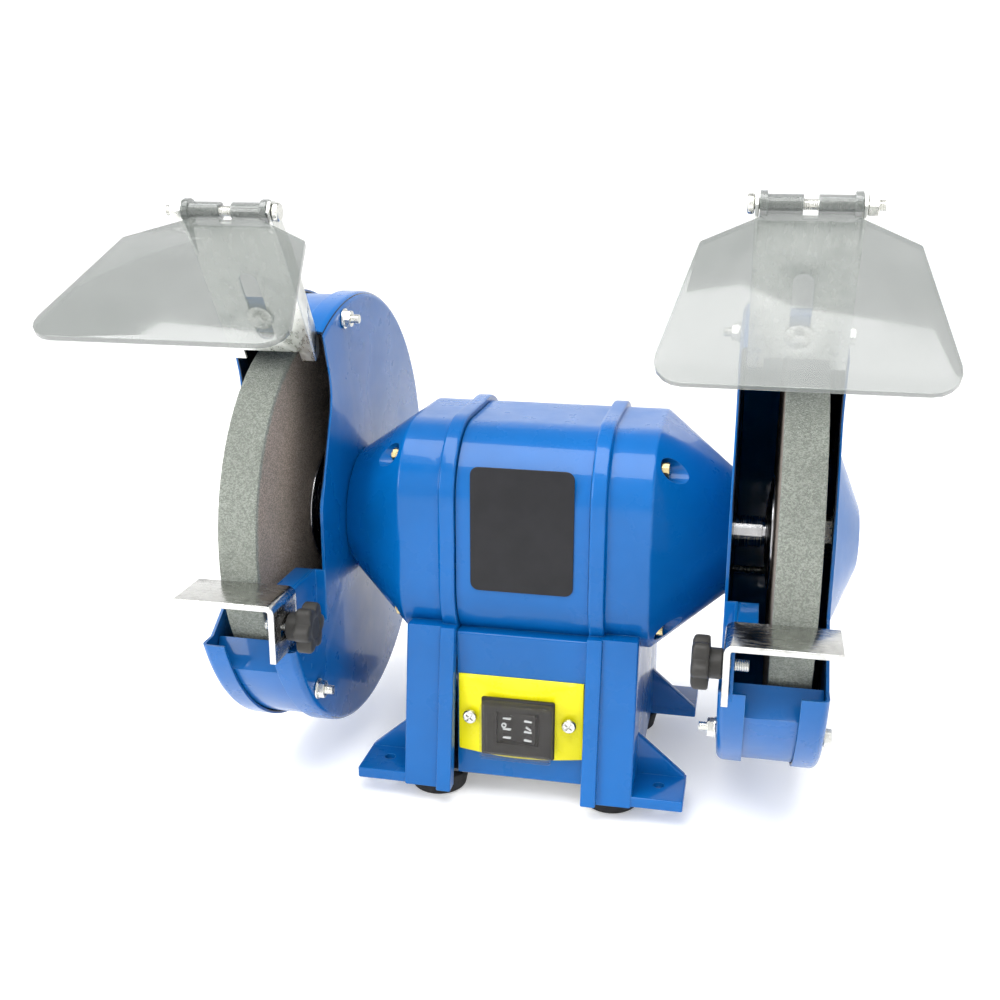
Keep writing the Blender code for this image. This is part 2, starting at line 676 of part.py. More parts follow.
def make_guard_band():
    """The sheet inside the two rims. Its front end bends out for the bracket, its lower end has a lip."""
    low_x, high_x = GUARD_X + SHEET + GAP, COVER_X - SHEET - GAP
    start, stop, steps = radians(115.5), radians(-150), 40
    angles = [start + (stop - start) * i / steps for i in range(steps + 1)]
    outer = [polar(BAND_RADIUS, angle) for angle in angles]
    inner = [polar(BAND_RADIUS - SHEET, angle) for angle in reversed(angles)]
    band = slab("guard_band", "YZ", outer + inner, low_x, high_x, PAINT)
    riser_low, riser_high = 0.0120, SCREW_ALONG + 0.0095
    near = BRACKET_SHEET + GAP
    far = near + SHEET
    tab = [
        bracket_point(riser_low, near), bracket_point(riser_high, near),
        bracket_point(riser_high, far), bracket_point(riser_low, far),
    ]
    tab_low_x = BRACKET_INNER_X + BRACKET_SHEET + 2 * GAP
    tab_high_x = BRACKET_OUTER_X - BRACKET_SHEET - 2 * GAP
    riser = slab("riser", "YZ", tab, tab_low_x, tab_high_x, PAINT)
    foot_y, foot_z = polar(BAND_RADIUS - SHEET / 2, start - radians(1.5))
    heel = bracket_point(riser_low, near + SHEET / 2)
    link = [
        (foot_y, foot_z - 0.0007), (foot_y, foot_z + 0.0007),
        (heel[0], heel[1] + 0.0010), (heel[0], heel[1] - 0.0006),
    ]
    joint = slab("link", "YZ", link, GUARD_X + GUARD_FLANGE + GAP, COVER_X - GUARD_FLANGE - GAP, PAINT)
    y, z = polar(BAND_RADIUS - SHEET / 2, stop)
    lip = [
        (y + 0.0008, z - 0.0010), (y + 0.0020, z + 0.0020), (y + 0.0085, z + 0.0130),
        (y + 0.0070, z + 0.0140), (y - 0.0009, z + 0.0005),
    ]
    front_lip = slab("lip", "YZ", lip, low_x, high_x, PAINT)
    join(band, riser, joint, front_lip)
    y, z = bracket_point(SCREW_ALONG, 0)
    hole = rod("screw_hole", "Z", (0, 0), 0.0022, -0.01, 0.01, PAINT, segments=12)
    hole.data.transform(lean_turn())
    hole.data.transform(Matrix.Translation((MID_X, y, z)))
    cut(band, hole)
    return smooth(bake(band))


def make_guard_bolts():
    for place, angle in GUARD_BOLT_ANGLES.items():
        centre = polar(GUARD_BOLT_RADIUS, angle)
        bolt = rod("bolt", "X", centre, 0.0024, GUARD_X - 0.0085, COVER_X + 0.002, ZINC, segments=12)
        nut = rod("nut", "X", centre, 0.0045, GUARD_X - 0.0045, GUARD_X - GAP, ZINC, segments=6)
        head = rod("head", "X", centre, 0.0045, COVER_X + GAP, COVER_X + 0.0038, ZINC, segments=6)
        both_sides(f"guard_bolt_{place}", smooth(bake(join(bolt, nut, head))))


# Wheels


def make_wheel_set():
    high = WHEEL_X + WHEEL_WIDTH
    wheel = turned(
        "wheel",
        [(0.0082, high), (WHEEL_RADIUS - 0.0006, high), (WHEEL_RADIUS, high - 0.0006),
         (WHEEL_RADIUS, WHEEL_X + 0.0006), (WHEEL_RADIUS - 0.0006, WHEEL_X), (0.0082, WHEEL_X)],
        STONE, steps=44, closed=True,
    )
    hub = 0.0300
    inner = turned(
        "inner_flange",
        [(0.0065, WHEEL_X - GAP), (0.0220, WHEEL_X - 0.0012),
         (hub - 0.006, WHEEL_X - GAP), (hub, WHEEL_X - GAP),
         (hub, WHEEL_X - 0.0022), (0.0120, WHEEL_X - 0.0055), (0.0065, WHEEL_X - 0.0055)],
        ZINC, steps=20, closed=True,
    )
    outer = turned(
        "outer_flange",
        [(0.0065, high + 0.0045), (0.0120, high + 0.0045), (hub, high + 0.0022), (hub, high + GAP),
         (hub - 0.006, high + GAP), (0.0220, high + 0.0012), (0.0065, high + GAP)],
        ZINC, steps=20, closed=True,
    )
    nut = rod("shaft_nut", "X", (0, AXIS_Z), 0.0115, high + 0.0049, high + 0.0145, ZINC, segments=6)
    bore = rod("bore", "X", (0, AXIS_Z), 0.0065, 0.1, 0.2, ZINC)
    bake(cut(nut, bore))
    for name, obj in (("wheel", wheel), ("inner_flange", inner), ("outer_flange", outer), ("shaft_nut", nut)):
        both_sides(name, set_origin(smooth(obj), (0, 0, AXIS_Z)))


# Tool rests


def make_tool_rest():
    leg_high = TAB_X - GAP
    leg_low = leg_high - REST_THICKNESS
    bend = 0.0040
    corners = [
        (leg_low, REST_LEG_BOTTOM), (leg_high, REST_LEG_BOTTOM), (leg_high, REST_TOP - REST_THICKNESS),
        (REST_OUTER_X, REST_TOP - REST_THICKNESS), (REST_OUTER_X, REST_TOP), (leg_low, REST_TOP),
    ]
    outline = rounded(corners, [0, 0, bend - REST_THICKNESS, 0, 0, bend], 4)
    rest = slab("tool_rest", "XZ", outline, REST_FRONT, REST_BACK, ZINC)
    slot_low = (0.09, REST_FRONT + 0.0080, STUD_Z - 0.0034)
    slot = box("slot", slot_low, (leg_high + 0.001, REST_BACK - 0.0030, STUD_Z + 0.0034), ZINC)
    bake(cut(rest, slot))
    return both_sides("tool_rest", set_origin(smooth(rest), (leg_low, REST_BACK, REST_TOP)))


def make_knob():
    """A knob of four lobes on a hub, with its stud through the slot and the guard's tab."""
    face = TAB_X - REST_THICKNESS - 2 * GAP
    hub = rod("clamp_knob", "X", (STUD_Y, STUD_Z), 0.0070, face - 0.0060, face, BLACK)
    head = rod("head", "X", (STUD_Y, STUD_Z), 0.0095, face - 0.0138, face - 0.0050, BLACK)
    lobes = []
    for i in range(4):
        angle = pi / 4 + i * pi / 2
        centre = (STUD_Y + 0.0083 * cos(angle), STUD_Z + 0.0083 * sin(angle))
        lobes.append(rod("lobe", "X", centre, 0.0042, face - 0.0138, face - 0.0055, BLACK, segments=12))
    stud = rod("stud", "X", (STUD_Y, STUD_Z), 0.0029, face - 0.002, TAB_X + SHEET + 0.0065, ZINC, segments=10)
    join(hub, head, *lobes, stud)
    bake(hub)
    return both_sides("clamp_knob", set_origin(smooth(hub), (face, STUD_Y, STUD_Z)))


# Eye shields and their brackets


def bracket_point(along_it, behind):
    """A point of the bracket's side view: a distance up its face, and a distance behind the face."""
    up = (-sin(BRACKET_LEAN), cos(BRACKET_LEAN))
    back = (cos(BRACKET_LEAN), sin(BRACKET_LEAN))
    return (
        BRACKET_BOTTOM[0] + up[0] * along_it + back[0] * behind,
        BRACKET_BOTTOM[1] + up[1] * along_it + back[1] * behind,
    )


def lean_turn():
    """The turn that takes +Z to the direction that points forward out of the bracket's face."""
    return Matrix.Rotation(pi / 2 + BRACKET_LEAN, 4, "X")


def across_face(name, radius, low, high, segments, distance=0.0, material=None):
    """A cylinder square to the bracket's face, its low and high ends counted forwards from the face."""
    y, z = bracket_point(distance, 0)
    cylinder = rod(name, "Z", (0, 0), radius, low, high, material or ZINC, segments=segments)
    cylinder.data.transform(lean_turn())
    cylinder.data.transform(Matrix.Translation((MID_X, y, z)))
    return cylinder


def slide(obj, distance):
    """Moves a mesh along the bracket's slide."""
    shift = Vector((0, -sin(BRACKET_LEAN), cos(BRACKET_LEAN))) * distance
    obj.data.transform(Matrix.Translation(shift))
    return obj


def slid_pair(name, obj):
    """Both hands of a piece of the bracket. The left bracket stands lower on its screw than the right one."""
    right, left = both_sides(name, obj)
    return right, slide(left, LEFT_BRACKET_SLIDE)


def make_bracket():
    """A sheet channel with a long slot. Its two side flanges end at the top in the ears of the hinge."""
    flange = [
        bracket_point(-0.0025, 0), bracket_point(BRACKET_LENGTH, 0), (HINGE_Y - 0.0055, HINGE_Z),
        (HINGE_Y - 0.0030, HINGE_Z + 0.0046), (HINGE_Y + 0.0030, HINGE_Z + 0.0046),
        (HINGE_Y + 0.0060, HINGE_Z),
        bracket_point(BRACKET_LENGTH, BRACKET_FLANGE), bracket_point(0.004, BRACKET_FLANGE),
        bracket_point(-0.0025, BRACKET_FLANGE * 0.6),
    ]
    bracket = slab("shield_bracket", "YZ", flange, BRACKET_INNER_X, BRACKET_OUTER_X, ZINC)
    knee = bracket_point(BRACKET_LENGTH, 0)
    top = (HINGE_Y + 0.0070, HINGE_Z - 0.0075)
    beyond = 0.03
    channel = [
        bracket_point(-0.02, BRACKET_SHEET), bracket_point(BRACKET_LENGTH, BRACKET_SHEET),
        (top[0] + 0.0014, top[1] + 0.0006), top, knee, (HINGE_Y - beyond, knee[1]),
        (HINGE_Y - beyond, HINGE_Z + beyond), (HINGE_Y + beyond, HINGE_Z + beyond),
        bracket_point(-0.02, beyond),
    ]
    low, high = BRACKET_INNER_X + BRACKET_SHEET, BRACKET_OUTER_X - BRACKET_SHEET
    cut(bracket, slab("channel", "YZ", channel, low, high, ZINC))
    front, back = -0.005, 0.008
    slot_side = [
        bracket_point(SLOT_BOTTOM, front), bracket_point(SLOT_TOP, front),
        bracket_point(SLOT_TOP, back), bracket_point(SLOT_BOTTOM, back),
    ]
    slot = slab("slot", "YZ", slot_side, MID_X - SLOT_HALF_WIDTH, MID_X + SLOT_HALF_WIDTH, ZINC)
    ends = [
        across_face("slot_end", SLOT_HALF_WIDTH, -back, -front, 16, distance)
        for distance in (SLOT_BOTTOM, SLOT_TOP)
    ]
    pin_hole = rod("pin_hole", "X", (HINGE_Y, HINGE_Z), 0.0027, 0.09, 0.2, ZINC, segments=10)
    notch_top = 0.0030
    notch_side = [
        bracket_point(-0.01, front), bracket_point(notch_top, front),
        bracket_point(notch_top, 0.02), bracket_point(-0.01, 0.02),
    ]
    notch = slab("notch", "YZ", notch_side, MID_X - NOTCH_HALF_WIDTH, MID_X + NOTCH_HALF_WIDTH, ZINC)
    cut(bracket, slot, *ends, pin_hole, notch)
    slid_pair("shield_bracket", smooth(bake(bracket)))


def make_bracket_screw():
    screw = across_face("bracket_screw", 0.0019, -0.0100, 0.0020, 12, SCREW_ALONG)
    washer = across_face("washer", 0.0065, GAP, 0.0012, 20, SCREW_ALONG)
    head = across_face("head", 0.0040, 0.0010, 0.0040, 6, SCREW_ALONG)
    nut = across_face("nut", 0.0042, -0.0075, -0.0036, 6, SCREW_ALONG)
    both_sides("bracket_screw", smooth(bake(join(screw, washer, head, nut))))


def make_hinge_bolt():
    centre = (HINGE_Y, HINGE_Z)
    inner, outer = BRACKET_INNER_X, BRACKET_OUTER_X
    bolt = rod("hinge_bolt", "X", centre, 0.0024, inner - 0.003, outer + 0.0070, ZINC, segments=10)
    head = rod("head", "X", centre, 0.0042, inner - 0.0033, inner - GAP, ZINC, segments=10)
    nut = rod("nut", "X", centre, 0.0045, outer + GAP, outer + 0.0042, ZINC, segments=6)
    slid_pair("hinge_bolt", smooth(bake(join(bolt, head, nut))))


def make_shield():
    """A flat clear plate, tilted forward, with two moulded knuckles on the hinge bolt."""
    front, back = 0.0014, 0.0014 + SHIELD_THICKNESS
    corners = [(-0.0180, -0.0045), (-0.0427, -0.0199), (-0.0580, -0.0915), (0.0580, -0.0915),
               (0.0427, -0.0199), (0.0180, -0.0045)]
    outline = rounded(corners, [0, 0.002, 0.011, 0.011, 0.002, 0], 5)
    plate = slab("eye_shield", "XZ", outline, front, back, CLEAR)
    pieces = []
    inner = MID_X - BRACKET_INNER_X - BRACKET_SHEET - GAP
    for side in (-1, 1):
        low, high = sorted((side * 0.0030, side * inner))
        pieces.append(rod("knuckle", "X", (0, 0), 0.0042, low, high, CLEAR, segments=12))
        low, high = sorted((side * (inner - 0.0030), side * inner))
        pieces.append(rod("collar", "X", (0, 0), 0.0056, low, high, CLEAR, segments=12))
        low, high = sorted((side * 0.0030, side * 0.0180))
        pieces.append(box("web", (low, front, -0.0060), (high, back, 0), CLEAR))
    join(plate, *pieces)
    cut(plate, rod("pin_bore", "X", (0, 0), 0.0027, -0.05, 0.05, CLEAR, segments=10))
    bake(plate)
    shift = Vector((0, -sin(BRACKET_LEAN), cos(BRACKET_LEAN))) * LEFT_BRACKET_SLIDE
    left_mesh = plate.data.copy()
    left_mesh.transform(Matrix.Rotation(-LEFT_SHIELD_TILT, 4, "X"))
    left = add_object("left_eye_shield", left_mesh, CLEAR)
    left.location = Vector((-MID_X, HINGE_Y, HINGE_Z)) + shift
    plate.name = "right_eye_shield"
    plate.data.transform(Matrix.Rotation(-RIGHT_SHIELD_TILT, 4, "X"))
    plate.location = (MID_X, HINGE_Y, HINGE_Z)
    smooth(left)
    smooth(plate)


def main():
    make_centre_housing()
    both_sides("end_casting", make_end_casting())
    make_motor()
    make_base()
    make_switch()
    make_trim()
    both_sides("inner_guard", make_inner_guard())
    both_sides("outer_cover", make_outer_cover())
    both_sides("guard_band", make_guard_band())
    make_guard_bolts()
    make_wheel_set()
    make_tool_rest()
    make_knob()
    make_bracket()
    make_bracket_screw()
    make_hinge_bolt()
    make_shield()
    for obj in GRINDER.objects:
        obj.location.y += SHAFT_Y


clear_scene()
GRINDER = bpy.data.collections.new("bench_grinder")
CUTTERS = bpy.data.collections.new("cutters")
bpy.context.scene.collection.children.link(GRINDER)
bpy.context.scene.collection.children.link(CUTTERS)
CUTTERS.hide_render = True
PAINT = make_material("blue_paint", (0.004, 0.110, 0.420), 0.35)
STEEL = make_material("lamination_steel", (0.30, 0.31, 0.32), 0.45, 0.9)
COPPER = make_material("copper_winding", (0.55, 0.22, 0.09), 0.40, 0.9)
BRIGHT = make_material("bright_steel", (0.62, 0.62, 0.62), 0.25, 1.0)
ZINC = make_material("zinc_steel", (0.55, 0.55, 0.53), 0.35, 1.0)
RUBBER = make_material("black_rubber", (0.02, 0.02, 0.02), 0.80)
BLACK = make_material("black_plastic", (0.02, 0.02, 0.022), 0.45)
YELLOW = make_material("yellow_plastic", (0.78, 0.72, 0.02), 0.40)
STONE = make_material("grinding_stone", (0.20, 0.22, 0.20), 0.95)
CLEAR = make_material("clear_plastic", (0.60, 0.64, 0.62), 0.12, 0.0, 0.5)
main()
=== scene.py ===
"""Looks of the bench grinder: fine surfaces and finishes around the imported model, a pale studio and a camera.

World frame: metres, +Z up, +X along the shaft, -Y towards a person who faces the switch.
"""

import json
from math import cos, pi, radians, sin

import bmesh
import bpy
import numpy as np
from bpy.props import FloatProperty, FloatVectorProperty, PointerProperty
from mathutils import Matrix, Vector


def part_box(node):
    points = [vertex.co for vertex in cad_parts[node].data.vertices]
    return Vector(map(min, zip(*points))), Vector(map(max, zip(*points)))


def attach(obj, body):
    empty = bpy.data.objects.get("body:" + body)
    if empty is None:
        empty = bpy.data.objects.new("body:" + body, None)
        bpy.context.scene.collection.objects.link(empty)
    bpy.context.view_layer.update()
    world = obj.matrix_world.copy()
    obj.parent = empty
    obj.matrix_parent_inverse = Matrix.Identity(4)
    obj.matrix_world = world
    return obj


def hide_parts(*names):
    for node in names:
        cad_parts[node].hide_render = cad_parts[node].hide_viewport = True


bl_info = {
    "name": "Bench Grinder",
    "version": (1, 0, 0),
    "blender": (4, 5, 0),
    "location": "View3D > Sidebar > Grinder",
    "description": "Builds the surfaces and finishes of a bench grinder around its solid model",
    "category": "Add Mesh",
}

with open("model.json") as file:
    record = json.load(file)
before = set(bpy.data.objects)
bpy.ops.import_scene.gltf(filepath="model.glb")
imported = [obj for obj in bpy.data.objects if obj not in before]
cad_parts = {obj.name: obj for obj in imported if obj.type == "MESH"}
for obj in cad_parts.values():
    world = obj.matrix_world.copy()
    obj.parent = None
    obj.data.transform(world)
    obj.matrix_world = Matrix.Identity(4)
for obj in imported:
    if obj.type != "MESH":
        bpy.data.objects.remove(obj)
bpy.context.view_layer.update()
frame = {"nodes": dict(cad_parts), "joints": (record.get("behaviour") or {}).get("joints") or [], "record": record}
JOINTS = {joint["name"]: joint for joint in frame["joints"]}

# Sizes taken from the frame
_, SHAFT_Y, AXIS_Z = JOINTS["wheel_spin"]["pos_m"]
HOUSING_LOW, HOUSING_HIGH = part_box("centre_housing")
CASTING_LOW, CASTING_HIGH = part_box("right_end_casting")
GUARD_LOW, GUARD_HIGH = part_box("right_inner_guard")
COVER_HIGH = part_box("right_outer_cover")[1]
WHEEL_LOW, WHEEL_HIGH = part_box("right_wheel")
PLATE_LOW, PLATE_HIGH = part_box("switch_plate")
BEZEL_LOW, BEZEL_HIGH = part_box("switch_body")
LABEL_LOW, LABEL_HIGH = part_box("name_plate")
KNOB_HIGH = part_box("right_clamp_knob")[1]
HOUSING_HALF = HOUSING_HIGH.z - AXIS_Z
RING_HALF = CASTING_HIGH.z - AXIS_Z
BELL_END_X = CASTING_HIGH.x
CASTING_X = CASTING_LOW.x
FOOT_HEIGHT = 0.0110
GUARD_X = GUARD_LOW.x
GUARD_RADIUS = GUARD_HIGH.y - SHAFT_Y
CONE_TIP_X = COVER_HIGH.x
WHEEL_RADIUS = WHEEL_HIGH.z - AXIS_Z

# Castings
GAP = 0.0003
BITE = 0.0001
WALL = 0.0035
CORNER = 0.036
RING_END_X = 0.0420
BELL_X = 0.0640
BELL_END_RADIUS = 0.033
SEAT_X = 0.0860
SEAT_RADIUS = 0.0200
BASE_FRONT_BOTTOM = 0.0700
BASE_FRONT_TOP = 0.0590
BASE_SIDE_X = 0.0600
BASE_TOP = FOOT_HEIGHT + 0.0865
PANEL_TOP = FOOT_HEIGHT + 0.0835
RIB_PROUD = 0.0035
PANEL_FRONT = 0.0565
BOLT_OFFSET = 0.0415
POCKET_RADIUS = 0.0062
POCKET_FLOOR_X = 0.0664
LUG_X = 0.0860
LUG_FRONT = 0.0688
LUG_BACK = 0.0390
LUG_THICKNESS = 0.0058
LUG_HOLE = (0.0725, 0.0538)
LUG_HOLE_RADIUS = 0.0029
GUSSET_HEIGHT = 0.024
ROOM_TOP = AXIS_Z - HOUSING_HALF - 0.002
PAST = 0.01  # how far a cutter goes past an open end

# Guards
SHEET = 0.0015
FLANGE = 0.0125
COVER_X = 0.1503
CONE_BASE_RADIUS = 0.052
CONE_TIP_RADIUS = 0.015
BAND_RADIUS = GUARD_RADIUS - SHEET - 2 * GAP
TAB_X = 0.1060
TAB_TOP = AXIS_Z - 0.0148
TAB_BOTTOM = AXIS_Z - 0.0420
TAB_FRONT = SHAFT_Y - 0.1195
TAB_REAR = SHAFT_Y - 0.0660
STUD = (SHAFT_Y - 0.1120, AXIS_Z - 0.0270)
KNOB_FACE_X = KNOB_HIGH.x - 0.0065 - SHEET - 0.0036
GUARD_BOLT_RADIUS = 0.1110
GUARD_BOLT_ANGLES = {"top": radians(103), "front": radians(221), "rear": radians(-30)}

# Brackets
BRACKET_LEAN = radians(32)
BRACKET_BOTTOM = (SHAFT_Y - 0.0624, AXIS_Z + 0.1001)
BRACKET_ROOM = 0.0108
BRACKET_INNER_X = 0.1046
BRACKET_OUTER_X = 0.1484
SCREW_ALONG = 0.0170
MID_X = (BRACKET_INNER_X + BRACKET_OUTER_X) / 2

# Switch
SWITCH_Z = (BEZEL_LOW.z + BEZEL_HIGH.z) / 2
PLATE_SCREW_X = 0.0260
PLATE_SCREW_Z = SWITCH_Z + 0.0025

# Screws and nuts
BOLT_RADIUS = 0.0024
NUT_RADIUS = 0.0045

# Camera: in front of the object, to its right and above it, looking a little down and to the left
CAMERA_PLACE = (0.1097, -0.6174 + SHAFT_Y, 0.3385)
CAMERA_YAW = radians(11.75)
CAMERA_PITCH = radians(16.39)
CAMERA_ROLL = radians(0.23)
CAMERA_LENS = 43.53
CAMERA_SHIFT = (-0.0088, -0.0060)

PLANE_ACROSS = {"X": "YZ", "Y": "XZ", "Z": "XY"}
AXIS_OF = {plane: axis for axis, plane in PLANE_ACROSS.items()}


# Points and meshes


def ring(count, start=0.0):
    """Angles evenly spaced round a turn."""
    return start + np.arange(count) * 2 * pi / count


def added(name, data):
    """A new object that holds the data, linked to the scene."""
    obj = bpy.data.objects.new(name, data)
    bpy.context.scene.collection.objects.link(obj)
    return obj


def surface(name, points, around=True, along=False, caps=False):
    """A mesh from a grid of points (rows, columns, 3). Each square of four neighbours makes one face."""
    rows, columns = points.shape[:2]
    index = np.arange(rows * columns).reshape(rows, columns)
    if around:
        index = np.concatenate([index, index[:, :1]], axis=1)
    if along:
        index = np.concatenate([index, index[:1]], axis=0)
    corners = (index[:-1, :-1], index[:-1, 1:], index[1:, 1:], index[1:, :-1])
    faces = np.stack(corners, axis=-1).reshape(-1, 4).tolist()
    if caps:
        faces.append(index[0, :columns][::-1].tolist())
        faces.append(index[-1, :columns].tolist())
    mesh = bpy.data.meshes.new(name)
    mesh.from_pydata(points.reshape(-1, 3).tolist(), [], faces)
    return tidy_mesh(added(name, mesh))


def tidy_mesh(obj, angle=radians(32)):
    """Merges points that coincide, turns every face outwards and shades smooth up to an angle."""
    shape = bmesh.new()
    shape.from_mesh(obj.data)
    bmesh.ops.remove_doubles(shape, verts=shape.verts, dist=2e-6)
    bmesh.ops.recalc_face_normals(shape, faces=shape.faces)
    shape.to_mesh(obj.data)
    shape.free()
    obj.data.shade_smooth()
    obj.data.set_sharp_from_angle(angle=angle)
    return obj


def rounded(corners, radius, steps=6):
    """A closed outline whose corners are arcs. radius is one number, or one for each corner.

    Each arc touches both sides of its corner: it starts at corner + side * r / tan(half angle) and turns
    about a centre on the corner's bisector at r / sin(half angle).
    """
    corners = np.asarray(corners, float)
    radii = np.broadcast_to(np.asarray(radius, float), (len(corners),))
    pieces = []
    for i, corner in enumerate(corners):
        if radii[i] <= 0:
            pieces.append(corner[None])
            continue
        back, ahead = corners[i - 1] - corner, corners[(i + 1) % len(corners)] - corner
        back, ahead = back / np.linalg.norm(back), ahead / np.linalg.norm(ahead)
        half = np.arccos(np.clip(back @ ahead, -1, 1)) / 2
        bisector = (back + ahead) / np.linalg.norm(back + ahead)
        centre = corner + bisector * radii[i] / np.sin(half)
        first = corner + back * radii[i] / np.tan(half) - centre
        last = corner + ahead * radii[i] / np.tan(half) - centre
        sweep = np.arctan2(first[0] * last[1] - first[1] * last[0], first @ last)
        turn = np.linspace(0, sweep, steps + 1)
        spun_u = first[0] * np.cos(turn) - first[1] * np.sin(turn)
        spun_v = first[0] * np.sin(turn) + first[1] * np.cos(turn)
        pieces.append(centre + np.stack([spun_u, spun_v], axis=1))
    return np.concatenate(pieces)


def offset(outline, distance, closed=True):
    """The outline moved to its left by a distance: each point goes along the mitre of its two sides."""
    outline = np.asarray(outline, float)
    sides = np.roll(outline, -1, axis=0) - outline
    if not closed:
        sides[-1] = sides[-2]
    sides /= np.maximum(np.linalg.norm(sides, axis=1, keepdims=True), 1e-12)
    normals = np.stack([-sides[:, 1], sides[:, 0]], axis=1)
    before = np.roll(normals, 1, axis=0)
    if not closed:
        before[0] = normals[0]
    dot = np.maximum((before * normals).sum(axis=1, keepdims=True), -0.6)
    return outline + distance * (before + normals) / (1 + dot)


def area_of(outline):
    """The area inside a closed outline, from its cross products: below zero when it runs clockwise."""
    u, v = np.asarray(outline, float).T
    return float((u * np.roll(v, -1) - v * np.roll(u, -1)).sum() / 2)


def placed(plane, u, v, w):
    """Plane coordinates as points: YZ is seen along X, XZ along Y, XY along Z. w is along the third axis."""
    order = {"YZ": (w, u, v), "XZ": (u, w, v), "XY": (u, v, w)}[plane]
    return np.stack(np.broadcast_arrays(*order), axis=-1)


def prism(name, plane, outline, low, high, rim=0.0003, steps=3):
    """An outline carried from low to high. Its two edges are quarter rounds of radius rim.

    At each level the outline is pulled in by rim * (1 - sin t), at a height rim * (1 - cos t) from the end.
    """
    outline = np.asarray(outline, float)
    if area_of(outline) < 0:
        outline = outline[::-1]
    turn = np.linspace(0, pi / 2, steps + 1)
    inset = rim * (1 - np.sin(turn))
    height = rim * (1 - np.cos(turn))
    levels = [(low + h, i) for h, i in zip(height, inset)]
    levels += [(high - h, i) for h, i in zip(height[::-1], inset[::-1])]
    rows = []
    for level, pull in levels:
        moved = offset(outline, pull)
        rows.append(placed(plane, moved[:, 0], moved[:, 1], level))
    return surface(name, np.stack(rows), caps=True)


def turned(name, profile, centre, steps=96, axis="X", closed=False):
    """A profile of (radius, height) turned about an axis: (r, h, t) goes to r cos t, r sin t, h."""
    radius, height = np.asarray(profile, float).T
    angle = ring(steps)
    u = centre[0] + radius[:, None] * np.cos(angle)
    v = centre[1] + radius[:, None] * np.sin(angle)
    points = placed(PLANE_ACROSS[axis], u, v, height[:, None] + 0 * angle)
    return surface(name, points, along=closed)


def circle(centre, radius, count=32, start=0.0):
    """Points evenly spaced round a circle."""
    angle = ring(count, start)
    return np.stack([centre[0] + radius * np.cos(angle), centre[1] + radius * np.sin(angle)], axis=1)


def round_square(half, corner, count=128):
    """Distance from the middle to the side of a square with round corners, at evenly spaced angles.

    In the octant, with d = (cos t, sin t): half / cos t on the flat; on the arc the larger root of
    |s d - c| = corner, where c is the arc's centre.
    """
    angle = ring(count, pi / count)
    y, z = np.abs(np.cos(angle)), np.abs(np.sin(angle))
    flat = half - corner
    on_flat = half / np.maximum(y, z)
    along = flat * (y + z)
    on_arc = along + np.sqrt(np.maximum(along**2 - 2 * flat**2 + corner**2, 0))
    is_arc = np.minimum(y, z) * on_flat > flat
    reach = np.where(is_arc, on_arc, on_flat)
    return reach * np.cos(angle), reach * np.sin(angle)


def softened(rows, spacing=0.0004, width=5):
    """A polyline of (x, half, corner) with round corners: resampled evenly, then averaged over a window."""
    rows = np.asarray(rows, float)
    lengths = np.linalg.norm(np.diff(rows[:, :2], axis=0), axis=1)
    reach = np.concatenate([[0], np.cumsum(lengths)])
    even = np.linspace(0, reach[-1], int(reach[-1] / spacing) + 1)
    dense = np.stack([np.interp(even, reach, column) for column in rows.T], axis=1)
    padded = np.pad(dense, ((width // 2, width // 2), (0, 0)), mode="edge")
    window = np.ones(width) / width
    smooth = np.stack([np.convolve(column, window, mode="valid") for column in padded.T], axis=1)
    bend = np.abs(np.diff(smooth, 2, axis=0)).sum(axis=1) > 1e-7
    keep = np.concatenate([[True], bend, [True]])
    keep[:: max(len(keep) // 30, 1)] = True
    return smooth[keep]


def loft(name, rows, count=128):
    """A closed solid through round squares: each row gives x, half width and corner radius."""
    sections = []
    for x, half, corner in rows:
        y, z = round_square(half, corner, count)
        sections.append(np.stack([np.full_like(y, x), SHAFT_Y + y, AXIS_Z + z], axis=1))
    return surface(name, np.stack(sections), caps=True)


def applied(obj):
    """Puts the result of the piece's modifiers in the place of its mesh."""
    bpy.context.view_layer.update()
    graph = bpy.context.evaluated_depsgraph_get()
    mesh = bpy.data.meshes.new_from_object(obj.evaluated_get(graph))
    obj.modifiers.clear()
    obj.data = mesh
    return obj


def combine(obj, others, operation):
    """Applies exact Booleans with the others, which are then removed."""
    for other in others:
        modifier = obj.modifiers.new(operation.title(), "BOOLEAN")
        modifier.operation = operation
        modifier.solver = "EXACT"
        modifier.object = other
    applied(obj)
    for other in others:
        bpy.data.objects.remove(other)
    return tidy_mesh(obj)


def join(obj, *others):
    """The piece with the others added to it."""
    return combine(obj, others, "UNION")


def cut(obj, *others):
    """The piece with the others cut out of it."""
    return combine(obj, others, "DIFFERENCE")


def rectangle(low_u, low_v, high_u, high_v):
    """The four corners of a rectangle, in order."""
    return [(low_u, low_v), (high_u, low_v), (high_u, high_v), (low_u, high_v)]


def block(name, low, high, rim=0.0):
    """A box between two corners, its edges rounded all round when rim is given."""
    low, high = np.minimum(low, high), np.maximum(low, high)
    outline = rectangle(low[0], low[1], high[0], high[1])
    if rim:
        outline = rounded(outline, rim * 1.6, 4)
    return prism(name, "XY", outline, low[2], high[2], rim)


def moved_by(obj, matrix):
    """The piece with its mesh moved."""
    obj.data.transform(matrix)
    return obj


def mirrored(obj, name):
    """A copy of the piece on the other side of the YZ plane."""
    mesh = obj.data.copy()
    mesh.transform(Matrix.Scale(-1, 4, (1, 0, 0)))
    mesh.flip_normals()
    return added(name, mesh)


